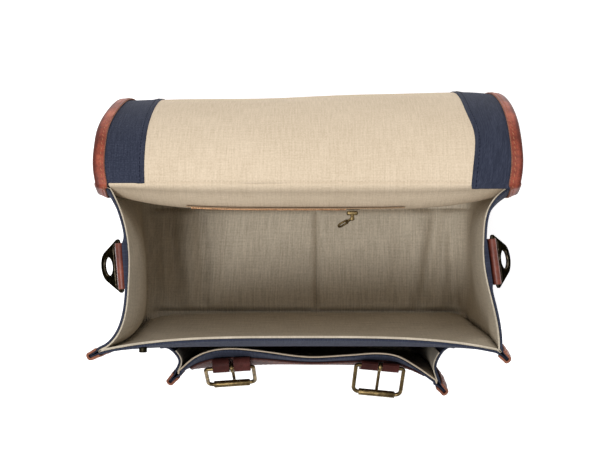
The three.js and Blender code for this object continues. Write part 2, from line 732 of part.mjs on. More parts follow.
add('zip_pull', geometryOf(pullPlate.subtract(pullBore).add(pullEye)), brass(), pullGroup);

// Front pocket
const pocketBottomStops = [-79, -63, -47, 0, 47, 63, 79];
const POCKET_STOPS = [0, 0.085, 0.17, 0.36, 0.57, 0.79, 1];
function pocketY(x, z) {
  const rim = rowAt(POCKET_RIM, 'x', x).y;
  const body = POCKET_BODY_Y - POCKET_BODY_BOW * (x / POCKET_HALF_WIDTH) ** 2;
  const down = Math.min((POCKET_TOP - z) / POCKET_EASE, 1);
  return lerp(rim, body, 1 - (1 - down) ** 2);
}
const pocketSeam = seamAlong(
  uStations({
    top: POCKET_TOP,
    bottom: POCKET_BOTTOM,
    halfWidth: POCKET_HALF_WIDTH,
    radius: POCKET_RADIUS,
    sideStops: POCKET_STOPS,
    bottomStops: pocketBottomStops,
    widthAt: () => POCKET_HALF_WIDTH,
  }),
  pocketY,
  (z, out) => lerp(POCKET_TILT_AT_RIM, POCKET_TILT_AT_FOOT, -out.z),
  FRONT,
);
const pocketRows = panelRows(pocketSeam, pocketY);
const pocketSheet = turnedTowards(withFlange(pocketRows, pocketSeam, true).sheet, FRONT);
add('pocket_front', thicken(pocketSheet, 0, CANVAS), navy());
const pocketInside = turnedTowards(gridSheet(pocketRows), FRONT);
add('pocket_lining_front', thicken(pocketInside, -GAP - LINING, -GAP), beige());
add('pocket_binding', seamBinding(pocketSeam, true), tan());

// Pocket gusset: its foot lies flat on the bag's front, then it curves out to the pocket's seam
const WALL_CLEAR = 0.5;
const frontFace = (x, z) => frontY(x, z) - CANVAS - WALL_CLEAR;
function pocketGussetRow({ point, out, flange, side }, whole) {
  const seamPoint = point.clone().addScaledVector(side, -SEAM_ROOM);
  const row = POCKET_GUSSET.map(({ across, outwards }) => {
    const at = point.clone().addScaledVector(out, outwards);
    return at.setY(lerp(frontFace(at.x, at.z), seamPoint.y, across));
  });
  if (!whole) return [...row.slice(2), seamPoint];
  return [...row, seamPoint, seamPoint.clone().addScaledVector(flange, FLANGE)];
}
const pocketGussetSheet = (whole) => turnedTowards(
  gridSheet(pocketSeam.map((station) => pocketGussetRow(station, whole))),
  vec(0, 0, -1),
);
add('pocket_gusset', thicken(pocketGussetSheet(true), 0, CANVAS), navy());
add('pocket_lining_gusset', thicken(pocketGussetSheet(false), -GAP - LINING, -GAP), beige());

// Leather band across the pocket: the same cells as the pocket's front, laid over them
const BAND_ROWS = [1, 3];
const BAND_COLUMNS = [1, pocketRows[0].length - 2];
const bandSheet = turnedTowards(gridSheet(pocketRows
  .slice(BAND_ROWS[0], BAND_ROWS[1] + 1)
  .map((row) => row.slice(BAND_COLUMNS[0], BAND_COLUMNS[1] + 1))), FRONT);
add('pocket_band', thicken(bandSheet, CANVAS + GAP, CANVAS + GAP + POCKET_BAND), oxblood());

// Buckles: the middle of each tab, its turn in plan, the frame's slope below level, and how far along
// its heel bar the frame has slid
const BUCKLES = [
  { name: 'left', x: -64.2, y: -88, turn: 3.8, slope: 54, slid: -2 },
  { name: 'right', x: 61.6, y: -87.2, turn: -5.5, slope: 27, slid: 0 },
];
const TAB_LAYERS = 2.8;
const TAB_LOOP = BUCKLE_BAR + 0.4;
const TAB_ROUND = TAB_LOOP + 1.5;
const TAB_FOOT = 155;
const TAB_CREST = 4.6;
const TAB_CLEAR = 0.8;
const TAB_HEIGHTS = [TAB_FOOT, 163, 170, 175, 179];
const BAND_EDGE = { low: 177, high: 181 };
const SLOT_WIDTH = PRONG_WIDTH + 1.2;
const SLOT_FROM = 165;
const PRONG_RING = 3.9;

function lying(radius, length, segments, at) {
  const rod = new THREE.CylinderGeometry(radius, radius, length, segments).rotateZ(Math.PI / 2);
  return manifoldOf(rod.translate(at.x, at.y, at.z));
}

// The tab's centre line on the pocket, measured from the heel bar: over the band, then on the cloth
function tabRest({ x, y, turn }, z) {
  const lean = Math.sin(rad(turn));
  const reach = BUCKLE_TAB_WIDTH / 2;
  const faces = [-1, -0.5, 0, 0.5, 1].map((share) => pocketY(x + share * reach, z) - share * reach * lean);
  const band = (POCKET_BAND + GAP) * (1 - THREE.MathUtils.smoothstep(z, BAND_EDGE.low, BAND_EDGE.high));
  return Math.min(...faces) - y - CANVAS - band - TAB_CLEAR - TAB_LAYERS / 2;
}

// The leather tab: up the pocket's front, over, and round the heel bar, with a slot for the prong
function buckleTab(buckle) {
  const bar = vec(0, 0, BUCKLE_Z);
  const face = (z, share) => new THREE.Vector2(tabRest(buckle, z) + (share * TAB_LAYERS) / 2, z);
  const top = face(BUCKLE_Z, 1);
  const outline = new THREE.Shape([
    ...TAB_HEIGHTS.map((z) => face(z, 1)),
    top,
    new THREE.Vector2(top.x * 0.8, BUCKLE_Z + 0.7 * TAB_CREST),
    new THREE.Vector2(top.x * 0.45, BUCKLE_Z + TAB_CREST),
    new THREE.Vector2(0, BUCKLE_Z + TAB_ROUND),
    new THREE.Vector2(0, BUCKLE_Z),
    ...TAB_HEIGHTS.map((z) => face(z, -1)).reverse(),
  ]);
  const strip = manifoldOf(slab(outline, BUCKLE_TAB_WIDTH).applyMatrix4(SIDE_VIEW));
  const slotTop = BUCKLE_Z + 2 * TAB_CREST;
  const slot = block(SLOT_WIDTH, 40, slotTop - SLOT_FROM, vec(0, 0, (slotTop + SLOT_FROM) / 2));
  return strip
    .add(lying(TAB_ROUND, BUCKLE_TAB_WIDTH, 14, bar))
    .subtract(lying(TAB_LOOP, BUCKLE_TAB_WIDTH + 2, 12, bar))
    .subtract(slot);
}

// A round bar bent to a rectangle with its heel at the origin and its far side at BUCKLE_LENGTH
function buckleFrame() {
  const corner = (cx, cy, radius, from) => [0, 1, 2, 3].map((k) => {
    const angle = rad(from + (90 * k) / 3);
    return { x: cx + radius * Math.cos(angle), y: cy + radius * Math.sin(angle), angle };
  });
  const heel = 2.2;
  const wide = BUCKLE_HALF_WIDTH;
  const path = [
    ...corner(wide - heel, heel, heel, -90),
    ...corner(wide - BUCKLE_CORNER, BUCKLE_LENGTH - BUCKLE_CORNER, BUCKLE_CORNER, 0),
    ...corner(BUCKLE_CORNER - wide, BUCKLE_LENGTH - BUCKLE_CORNER, BUCKLE_CORNER, 90),
    ...corner(heel - wide, heel, heel, 180),
  ];
  const section = [0, 1, 2, 3, 4, 5].map((k) => {
    const angle = rad(60 * k);
    return [BUCKLE_BAR * Math.cos(angle), BUCKLE_BAR * Math.sin(angle)];
  });
  const stations = path.map(({ x, y, angle }) => ({
    origin: vec(x, y, 0),
    u: vec(Math.cos(angle), Math.sin(angle), 0),
    v: vec(0, 0, 1),
  }));
  return sweep(stations, section, { closed: true });
}

function buckleRoller() {
  const inner = BUCKLE_BAR + 0.35;
  const half = ROLLER_LENGTH / 2;
  const outer = ROLLER_RADIUS;
  const profile = [[inner, -half], [outer, -half], [outer, half], [inner, half], [inner, -half]];
  const tube = new THREE.LatheGeometry(profile.map(([r, y]) => new THREE.Vector2(r, y)), 14);
  return tube.rotateZ(Math.PI / 2).translate(0, BUCKLE_LENGTH, 0);
}

// The prong: a ring on the heel bar and an arm that lies under the roller
function buckleProng() {
  const under = ROLLER_RADIUS + GAP;
  const arm = new THREE.Shape([
    new THREE.Vector2(0, 2.2),
    new THREE.Vector2(BUCKLE_LENGTH - 4, under),
    new THREE.Vector2(PRONG_LENGTH, under + 0.3),
    new THREE.Vector2(PRONG_LENGTH, under + 1.6),
    new THREE.Vector2(BUCKLE_LENGTH - 4, under + 2.2),
    new THREE.Vector2(0, PRONG_RING),
  ]);
  const bore = lying(BUCKLE_BAR + 0.35, 2 * PRONG_WIDTH, 14, vec(0, 0, 0));
  const ring = lying(PRONG_RING, PRONG_WIDTH, 18, vec(0, 0, 0));
  return manifoldOf(slab(arm, PRONG_WIDTH).applyMatrix4(SIDE_VIEW)).add(ring).subtract(bore);
}

for (const buckle of BUCKLES) {
  const { name, x, y, turn, slope, slid } = buckle;
  const tab = new THREE.Group();
  tab.position.set(x, y, 0);
  tab.rotation.z = rad(turn);
  bag.add(tab);
  add(`buckle_tab_${name}`, geometryOf(buckleTab(buckle)), oxblood(), tab);
  const swung = new THREE.Group();
  swung.position.z = BUCKLE_Z;
  swung.rotation.x = Math.PI + rad(slope);
  tab.add(swung);
  add(`buckle_prong_${name}`, geometryOf(buckleProng()), brass(), swung);
  add(`buckle_frame_${name}`, buckleFrame().translate(slid, 0, 0), brass(), swung);
  add(`buckle_roller_${name}`, buckleRoller().translate(slid, 0, 0), brass(), swung);
}

// Strap rings: each hangs from a leather fold sewn to the middle of a gusset, just under the rim.
// Where it sits along the gusset, its turn in plan, and how far its ring hangs out from straight down
const RINGS = [
  { name: 'left', side: -1, y: 0, turn: 4.6, hang: 36 },
  { name: 'right', side: 1, y: 3.6, turn: 7.4, hang: 31 },
];
const RING_LOOP = 1.95;
const RING_ROUND = RING_LOOP + 1.3;
const RING_TAB_LAYERS = 2.8;
const RING_TAB_HEIGHTS = [204, 212, 222, RING_Z];

// The gusset's bow, straight from column to column as its sheet is
function facetBow(t, fold) {
  const k = ACROSS_STOPS.findIndex((stop) => stop >= t);
  const [from, to] = ACROSS_STOPS.slice(k - 1, k + 1);
  const ends = [from, to].map((stop) => gussetBow(stop, fold, SIDE_CURVE));
  return lerp(...ends, (t - from) / (to - from));
}

// How far out the gusset's outer face stands at a place
function gussetFace(side, y, z) {
  const row = bodyAt(z);
  const t = (y - row.frontY) / (row.backY - row.frontY);
  const tilt = rad(frontTilt(z, vec(side, 0, 0)));
  const { fold, depth } = gussetOf(side);
  const inward = row.sideIn * depth * facetBow(t, fold);
  const lean = side * frontLean(z) * (1 - t);
  return row.seamX + lean - inward + SEAM_ROOM * Math.sin(tilt) + CANVAS;
}

// The plane on which a ring tab lies at a height, clear of the gusset over the tab's whole width. It takes
// twice the gap, because the gusset's facets stand a little proud of its curve between their rows
function ringSeat({ side, y, turn }, z) {
  const lean = side * Math.sin(rad(turn));
  const reach = RING_TAB_WIDTH / 2;
  const faces = [-1, -0.5, 0, 0.5, 1].map((share) => {
    const along = share * reach;
    return gussetFace(side, y + along, z) + along * lean;
  });
  return Math.max(...faces) + 2 * GAP;
}
const ringReach = (ring) => ringSeat(ring, RING_Z) + RING_ROUND;

function ringTab(ring) {
  const out = (z, layers) => ring.side * (ringSeat(ring, z) + layers - ringReach(ring));
  const back = RING_TAB_HEIGHTS.map((z) => new THREE.Vector2(out(z, 0), z));
  const front = RING_TAB_HEIGHTS.slice(0, -1).map((z) => new THREE.Vector2(out(z, RING_TAB_LAYERS), z));
  const outline = new THREE.Shape([...back, new THREE.Vector2(0, RING_Z), ...front.reverse()]);
  const tail = slab(outline, RING_TAB_WIDTH).applyMatrix4(FRONT_VIEW);
  const round = (radius, length, segments) => {
    const rod = new THREE.CylinderGeometry(radius, radius, length, segments);
    return manifoldOf(rod.translate(0, 0, RING_Z));
  };
  return manifoldOf(tail)
    .add(round(RING_ROUND, RING_TAB_WIDTH, 16))
    .subtract(round(RING_LOOP, RING_TAB_WIDTH + 2, 14));
}

// The ring's plate, its bar at the origin and its tip downwards
function strapRing() {
  const corner = { x: 18.6, y: 1.8, radius: 3 };
  const tip = { y: 19.8, radius: 13 };
  const hole = { y: 19.8, radius: 7.6 };
  const slot = { half: 19.2, from: RING_BAR, bend: 4.2, endHalf: 15.6, to: 8.5 };
  const run = new THREE.Vector2(-corner.x, tip.y - corner.y);
  const lean = run.angle() - Math.acos((corner.radius - tip.radius) / run.length());
  const shape = new THREE.Shape();
  shape.absarc(corner.x, corner.y, corner.radius, -Math.PI / 2, lean, false);
  shape.absarc(0, tip.y, tip.radius, lean, Math.PI - lean, false);
  shape.absarc(-corner.x, corner.y, corner.radius, Math.PI - lean, 1.5 * Math.PI, false);
  shape.closePath();
  const eye = new THREE.Path().absarc(0, hole.y, hole.radius, 0, 2 * Math.PI, true);
  const slit = new THREE.Path([
    new THREE.Vector2(-slot.half, slot.from),
    new THREE.Vector2(-slot.half, slot.bend),
    new THREE.Vector2(-slot.endHalf, slot.to),
    new THREE.Vector2(slot.endHalf, slot.to),
    new THREE.Vector2(slot.half, slot.bend),
    new THREE.Vector2(slot.half, slot.from),
  ]);
  shape.holes.push(eye, slit);
  const plane = new THREE.Matrix4().makeBasis(vec(0, 1, 0), vec(0, 0, -1), vec(-1, 0, 0));
  return slab(shape, RING_PLATE, 7).applyMatrix4(plane);
}

for (const ring of RINGS) {
  const tab = new THREE.Group();
  tab.position.set(ring.side * ringReach(ring), ring.y, 0);
  tab.rotation.z = rad(ring.turn);
  bag.add(tab);
  add(`ring_tab_${ring.name}`, geometryOf(ringTab(ring)), tan(), tab);
  const turned = new THREE.Group();
  turned.position.z = RING_Z;
  turned.rotation.y = -ring.side * rad(ring.hang);
  tab.add(turned);
  add(`strap_ring_${ring.name}`, strapRing(), bronze(), turned);
}

// Closing straps on the flap's outer face: sewn above its end, then loose along the ground towards the bag
const STRAP_WIDTH = 30;
const STRAP = 2.8;
const STRAP_TOP = 90;
const STRAP_BEND = 17;
const STRAP_TAIL = 78;
const STRAP_LIFT = 0.3;
const STRAP_STEP = 30;
const flapFace = FLAP_BACK - CANVAS - GAP;
const strapBack = flapFace - BINDING - GAP;
const strapLine = [
  vec(0, flapFace, STRAP_TOP),
  vec(0, flapFace, STRAP_STEP),
  ...[0, 1, 2, 3, 4].map((k) => {
    const angle = ((Math.PI / 2) * k) / 4;
    const y = strapBack - STRAP_BEND * (1 - Math.cos(angle));
    return vec(0, y, STRAP_LIFT + STRAP_BEND * (1 - Math.sin(angle)));
  }),
  vec(0, STRAP_TAIL, STRAP_LIFT),
];
for (const { name, x } of BUCKLES) {
  const rows = strapLine.map(({ y, z }) => [-1, 1].map((edge) => {
    const edgeX = x + (edge * STRAP_WIDTH) / 2;
    return vec(edgeX, y + flapSkew(edgeX), z);
  }));
  const strip = turnedTowards(gridSheet(rows), vec(0, -1, 1));
  add(`closing_strap_${name}`, thicken(strip, 0, STRAP), oxblood());
}

export default bag;
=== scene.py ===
import math
from collections import namedtuple

import bpy
import numpy as np
from mathutils import Matrix, Vector


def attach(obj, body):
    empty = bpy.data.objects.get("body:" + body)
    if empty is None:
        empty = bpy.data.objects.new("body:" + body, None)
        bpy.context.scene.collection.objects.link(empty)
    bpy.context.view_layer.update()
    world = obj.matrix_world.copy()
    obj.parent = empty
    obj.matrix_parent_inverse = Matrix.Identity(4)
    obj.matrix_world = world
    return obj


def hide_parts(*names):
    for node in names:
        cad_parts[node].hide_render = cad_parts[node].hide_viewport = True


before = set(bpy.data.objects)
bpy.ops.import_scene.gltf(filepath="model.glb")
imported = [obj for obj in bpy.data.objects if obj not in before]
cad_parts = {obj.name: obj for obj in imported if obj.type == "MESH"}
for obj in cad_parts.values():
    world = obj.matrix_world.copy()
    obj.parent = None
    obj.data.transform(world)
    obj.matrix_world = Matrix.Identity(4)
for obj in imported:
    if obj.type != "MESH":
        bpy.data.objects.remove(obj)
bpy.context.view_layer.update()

# The view and the studio: a camera straight above the open bag, a white ground, and soft light
# from an overhead screen a little to the front left, a weaker one behind, and a pale room all round.
scene = bpy.context.scene
bpy.ops.object.select_all(action="DESELECT")
bpy.ops.object.camera_add(location=(-0.0063, 0.0305, 1.175), rotation=(0, 0, 0))
camera = bpy.context.object
camera.data.sensor_fit = "HORIZONTAL"
camera.data.sensor_width = 36
camera.data.lens = 70.26
scene.camera = camera
scene.view_settings.view_transform = "Standard"

room = bpy.data.worlds.new("pale_room")
room.use_nodes = True
room_light = room.node_tree.nodes["Background"].inputs
room_light["Color"].default_value = (1.0, 0.99, 0.98, 1)
room_light["Strength"].default_value = 0.5
scene.world = room


def soft_light(name, place, aim, size, watts):
    direction = Vector(aim) - Vector(place)
    turn = direction.to_track_quat("-Z", "Y").to_euler()
    bpy.ops.object.light_add(type="AREA", location=place, rotation=turn)
    lamp = bpy.context.object
    lamp.name = name
    lamp.data.shape = "DISK"
    lamp.data.size = size
    lamp.data.energy = watts


soft_light("overhead_screen", (-0.50, -0.44, 2.25), (0, 0, 0.1), 0.55, 29)
soft_light("back_screen", (0.1, 1.2, 2.1), (0, 0, 0.15), 1.0, 19)


def new_material(name, fixed):
    """A new material whose shader takes the fixed values, and that shader."""
    material = bpy.data.materials.new(name)
    material.use_nodes = True
    shader = material.node_tree.nodes["Principled BSDF"]
    for socket, value in fixed.items():
        shader.inputs[socket].default_value = value
    return material, shader


GROUND_SIZE = 6.0
GROUND_DROP = 0.0004
bpy.ops.mesh.primitive_plane_add(size=GROUND_SIZE, location=(0, 0, -GROUND_DROP))
ground = bpy.context.object
ground.name = "ground"
bpy.ops.object.transform_apply(location=True, rotation=True, scale=True)
white_paper, _ = new_material("white_paper", {"Base Color": (0.93, 0.93, 0.93, 1), "Roughness": 0.9,
                                              "Emission Color": (1, 1, 1, 1), "Emission Strength": 0.55})
ground.data.materials.append(white_paper)

# The front wall: navy canvas outside and a beige cotton lining inside, cut to a U and sewn along three
# sides to the gussets with an outward seam. The lining is turned in a soft hem at the rim.
MM = 0.001
CANVAS = 1.8
LINING = 1.0
GAP = 0.3
RIM_HEIGHT = 250
CORNER_RADIUS = 28
BASE_HALF_WIDTH = 162
FLANGE_HEIGHT = 5.7
SEAM_ROOM = 1.5
PINCHED = 0.3
FLANGE = 10
TILT_AT_CORNER = 62
FRONT_TILT = (28, 46)
FRONT_CURVE = 3.4
SIDE_STEPS = 48
ARC_STEPS = 16
BOTTOM_STEPS = 112
FORWARD = np.array([0.0, -1.0, 0.0])

# Height, corner seam, front and back seam, and how far front, sides and back are drawn in
BODY = [
    (0, 162, -64, 60, 0, 1, 0),
    (60, 162, -65, 59, -1, 6, 2),
    (120, 161.5, -66, 58, 0, 16, 4.5),
    (190, 160, -66.5, 58, 1, 20.5, 9.5),
    (225, 158.5, -66.5, 58, 4.6, 19.5, 12),
    (250, 157, -66, 65, 10.5, 18, 2),
]
# Height, and how far the front wall leans over to the left there
FRONT_LEAN = [(0, 0), (120, 0), (190, -1.2), (250, -6.2)]
BodyRow = namedtuple("BodyRow", "z seam_x front_y back_y front_in side_in back_in")
Seam = namedtuple("Seam", "points out flange side")
Sheet = namedtuple("Sheet", "points faces uv")


def clamp(value, low=0, high=1):
    return min(max(value, low), high)


def lerp(a, b, t):
    return a + (b - a) * t


def drawn(share, curve):
    return 1 - min(abs(share), 1) ** curve


def swell(value, centre, width):
    return math.exp(-(((value - centre) / width) ** 2))


def row_at(table, value):
    """A row of a table at any value of its first column, on a smooth curve through the rows."""
    last = len(table) - 1
    i = 0
    while i < last - 1 and value > table[i + 1][0]:
        i += 1
    a, b = table[i], table[i + 1]
    before, after = table[max(i - 1, 0)], table[min(i + 2, last)]
    span = b[0] - a[0]
    t = clamp((value - a[0]) / span)
    row = []
    for column in range(len(a)):
        slope_a = (b[column] - before[column]) / (b[0] - before[0]) * span
        slope_b = (after[column] - a[column]) / (after[0] - a[0]) * span
        rise = b[column] - a[column]
        bend = slope_a + slope_b - 2 * rise
        row.append(a[column] + t * (slope_a + t * (rise - slope_a + (t - 1) * bend)))
    return row


def body_at(z):
    return BodyRow(*row_at(BODY, z))


def front_lean(z):
    return row_at(FRONT_LEAN, z)[1]


def u_stations(top, bottom, half_width, radius, width_at):
    """Places down one side of a U, across its bottom and up the other side, with the way outwards."""
    foot = bottom + radius
    left = [(-half_width, lerp(top, foot, k / SIDE_STEPS), -1.0, 0.0) for k in range(SIDE_STEPS + 1)]
    for k in range(1, ARC_STEPS + 1):
        angle = math.pi / 2 * k / ARC_STEPS
        out_x, out_z = -math.cos(angle), -math.sin(angle)
        left.append((radius - half_width + radius * out_x, foot + radius * out_z, out_x, out_z))
    reach = half_width - radius
    middle = [(lerp(-reach, reach, k / BOTTOM_STEPS), bottom, 0.0, -1.0) for k in range(1, BOTTOM_STEPS)]
    right = [(-x, z, -out_x, out_z) for x, z, out_x, out_z in reversed(left)]
    return [(x * width_at(z) / half_width, z, *out) for x, z, *out in left + middle + right]


def seam_along(stations, y_at, tilt_at, forward):
    """The seam at each place: its point, the way outwards, along the flange and to the panel's side."""
    points, outs, flanges, sides = [], [], [], []
    for x, z, out_x, out_z in stations:
        out = np.array([out_x, 0, out_z])
        tilt = math.radians(tilt_at(z, out_x, out_z))
        points.append(np.array([x, y_at(x, z), z]))
        outs.append(out)
        flanges.append(out * math.cos(tilt) + forward * math.sin(tilt))
        sides.append(-out * math.sin(tilt) + forward * math.cos(tilt))
    return Seam(*(np.array(column) for column in (points, outs, flanges, sides)))


def tilt_from(left, right):
    """How far a seam's flange leans from the wall's plane, by height and by the way outwards."""
    def tilt(z, out_x, out_z):
        down = 1 - clamp((z - FLANGE_HEIGHT) / (RIM_HEIGHT - FLANGE_HEIGHT))
        return lerp(lerp(lerp(left, right, (out_x + 1) / 2), TILT_AT_CORNER, down), 90, -out_z)
    return tilt


def pinch(reach):
    """Half the room between a seam's two cloths: they are drawn together inside the binding."""
    t = clamp(reach / FLANGE)
    return lerp(SEAM_ROOM, PINCHED, t * (2 - t))


def on_flange(seam, k, side, reach):
    """A place on a seam's flange, on its panel's cloth or, with side -1, on the cloth behind it."""
    return seam.points[k] + seam.side[k] * side * pinch(reach) + seam.flange[k] * reach


def panel_rows(seam, surface):
    """A grid inside a U-shaped seam, from its top edge down."""
    row_count = SIDE_STEPS + ARC_STEPS // 2
    end = len(seam.points) - 1
    edge = seam.points + seam.side * SEAM_ROOM
    bottom = seam.points[row_count:end - row_count + 1]
    columns = len(bottom) - 1
    half = bottom[-1][0]
    rows = []
    for j in range(row_count + 1):
        b = j / row_count
        left, right = seam.points[j], seam.points[end - j]
        wide = lerp((right[0] - left[0]) / (2 * half), 1, b * b)
        shift = (left[0] + right[0]) / 2 * (1 - b * b)
        row = [edge[j]]
        for i in range(1, columns):
            if j == row_count:
                row.append(edge[row_count + i])
                continue
            level = lerp(left[2], right[2], i / columns) + b * (bottom[i][2] - bottom[0][2])
            x = bottom[i][0] * wide + shift
            row.append(np.array([x, surface(x, level), level]))
        row.append(edge[end - j])
        rows.append(row)
    return np.array(rows)


def grid_faces(rows, columns):
    corner = np.arange(rows * columns).reshape(rows, columns)
    quads = [corner[:-1, :-1], corner[:-1, 1:], corner[1:, 1:], corner[1:, :-1]]
    return np.stack([quad.ravel() for quad in quads], axis=1)


def face_ups(points, faces):
    """The way up of each four-sided face, as long as twice its area."""
    a, b, c, d = (points[faces[:, i]] for i in range(4))
    return np.cross(c - a, d - b)


def turned(faces, points, towards):
    total = face_ups(points, faces).sum(axis=0)
    return faces if np.dot(total, towards) >= 0 else faces[:, ::-1]


def grid_sheet(rows, towards):
    """A grid of points as a sheet whose flat cut follows its rows and columns."""
    rows = np.asarray(rows, dtype=float)
    middle = rows.shape[1] // 2
    across = np.linalg.norm(np.diff(rows, axis=1), axis=2).cumsum(axis=1)
    across = np.pad(across, ((0, 0), (1, 0)))
    across = across - across[:, middle:middle + 1]
    along = np.pad(np.linalg.norm(np.diff(rows, axis=0), axis=2).cumsum(axis=0), ((1, 0), (0, 0)))
    points = rows.reshape(-1, 3)
    faces = turned(grid_faces(*rows.shape[:2]), points, towards)
    return Sheet(points, faces, np.stack([across.ravel(), along.ravel()], axis=1) * MM)


FLANGE_STEPS = 4
FLANGE_REACH = [FLANGE * step / FLANGE_STEPS for step in range(1, FLANGE_STEPS + 1)]
# Canvas is pressed thin where it lies inside a binding
PRESSED = 0.9
FLANGE_CANVAS = [CANVAS * 0.75, PRESSED, PRESSED, PRESSED]


def panel_canvas(sheet, rows, seam):
    """The canvas's thickness on a flanged panel: whole on the panel and its bend, pressed on the flange."""
    thick = np.full(len(sheet.points), CANVAS)
    first, around = rows.shape[0] * rows.shape[1], len(seam.points)
    thick[first:first + FLANGE_STEPS * around] = np.repeat(FLANGE_CANVAS, around)
    return thick


def flanged_sheet(rows, seam, towards):
    """A panel's grid with the seam flange round its three sewn sides."""
    row_count, width = rows.shape[0] - 1, rows.shape[1]
    end = len(seam.points) - 1
    points = [rows.reshape(-1, 3)]
    uv = [points[0][:, [0, 2]]]
    down_side = [k * width for k in range(row_count + 1)]
    across = [row_count * width + k for k in range(1, end - 2 * row_count)]
    strips = [down_side + across + [start + width - 1 for start in reversed(down_side)]]
    faces = [grid_faces(row_count + 1, width)]
    count = len(points[0])
    for reach in FLANGE_REACH:
        points.append(on_flange(seam, slice(None), 1, reach))
        uv.append(seam.points[:, [0, 2]] + seam.out[:, [0, 2]] * reach)
        strips.append(list(range(count, count + end + 1)))
        count += end + 1
    for near, far in zip(strips, strips[1:]):
        faces.append(np.array([[far[k], near[k], near[k + 1], far[k + 1]] for k in range(end)]))
    points = np.concatenate(points)
    first = turned(faces[0], points, towards)
    if first is not faces[0]:
        faces = [part[:, ::-1] for part in faces]
    edges = {(face[i], face[(i + 1) % 4]) for face in faces[0].tolist() for i in range(4)}
    sample = faces[1][0].tolist()
    if any((sample[i], sample[(i + 1) % 4]) in edges for i in range(4)):
        faces = [faces[0]] + [part[:, ::-1] for part in faces[1:]]
    return Sheet(points, np.concatenate(faces), np.concatenate(uv) * MM)


def meshed(name, points, faces, skin):
    """A new piece from its points in metres, its faces and its finish."""
    mesh = bpy.data.meshes.new(name)
    mesh.from_pydata(points.tolist(), [], faces)
    mesh.materials.append(skin)
    piece = bpy.data.objects.new(name, mesh)
    scene.collection.objects.link(piece)
    return piece


def only(piece):
    bpy.ops.object.select_all(action="DESELECT")
    piece.select_set(True)
    bpy.context.view_layer.objects.active = piece


def smoothed(piece, degrees):
    only(piece)
    bpy.ops.object.shade_smooth_by_angle(angle=math.radians(degrees))


MITRE_LIMIT = 0.6
ROUNDING = 0.38
CLOTH_SMOOTH = 50
TINY = 1e-9


def cloth(name, sheet, low, high, skin, cut_edge=None):
    """A sheet with its real thickness and softly rounded edges, as a mesh in the bag's frame."""
    points, faces, uv = sheet
    count = len(points)
    low, high = (np.broadcast_to(np.asarray(v, dtype=float), (count,)) for v in (low, high))
    flat = face_ups(points, faces)
    flat /= np.linalg.norm(flat, axis=1, keepdims=True)
    normals, share, touching = np.zeros((count, 3)), np.zeros(count), np.zeros(count)
    for i in range(4):
        np.add.at(normals, faces[:, i], flat)
    normals /= np.linalg.norm(normals, axis=1, keepdims=True)
    for i in range(4):
        np.add.at(share, faces[:, i], np.einsum("ij,ij->i", flat, normals[faces[:, i]]))
        np.add.at(touching, faces[:, i], 1)
    lift = normals / np.maximum(share / touching, MITRE_LIMIT)[:, None]
    top, under = points + lift * high[:, None], points + lift * low[:, None]
    quads = faces.tolist()
    runs = {(quad[i], quad[(i + 1) % 4]) for quad in quads for i in range(4)}
    rim = [(p, q) for p, q in sorted(runs) if (q, p) not in runs]
    outwards = np.zeros((count, 3))
    for p, q in rim:
        away = np.cross(points[q] - points[p], normals[p] + normals[q])
        away /= max(np.linalg.norm(away), TINY)
        outwards[p] += away
        outwards[q] += away
    on_rim = sorted({p for pair in rim for p in pair})
    place = {p: 2 * count + i for i, p in enumerate(on_rim)}
    away = outwards[on_rim]
    away /= np.maximum(np.linalg.norm(away, axis=1, keepdims=True), TINY)
    nose = (top + under)[on_rim] / 2 + away * ((high - low)[on_rim] * ROUNDING)[:, None]
    shell = quads + [[i + count for i in reversed(quad)] for quad in quads]
    body_faces = len(shell)
    for p, q in rim:
        shell.append([q, p, place[p], place[q]])
        shell.append([place[q], place[p], p + count, q + count])
    piece = meshed(name, np.concatenate([top, under, nose]) * MM, shell, skin)
    mesh = piece.data
    layer = mesh.uv_layers.new(name="cut")
    corners = np.empty(len(mesh.loops), dtype=np.int32)
    mesh.loops.foreach_get("vertex_index", corners)
    layer.data.foreach_set("uv", np.concatenate([uv, uv, uv[on_rim]])[corners].ravel())
    if cut_edge:
        mesh.materials.append(cut_edge)
        kinds = np.zeros(len(shell), dtype=np.int32)
        kinds[body_faces:] = 1
        mesh.polygons.foreach_set("material_index", kinds)
    smoothed(piece, CLOTH_SMOOTH)
    return piece


def fix(piece, body, slot, *nodes):
    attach(piece, body)
    if nodes:
        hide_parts(*nodes)
    return piece


def sewn(name, sheet, low, high, skin, slot, node, held, *rests_on):
    """A piece of cloth on the bag, fixed to its body; the width, length and area of its cut are worked out
    and not used.
    """
    width, length = sheet.uv.max(axis=0) - sheet.uv.min(axis=0)
    area = np.linalg.norm(face_ups(sheet.points * MM, sheet.faces), axis=1).sum() / 2
    piece = fix(cloth(name, sheet, low, high, skin), "bag", slot, node)
    min(area, width * length)


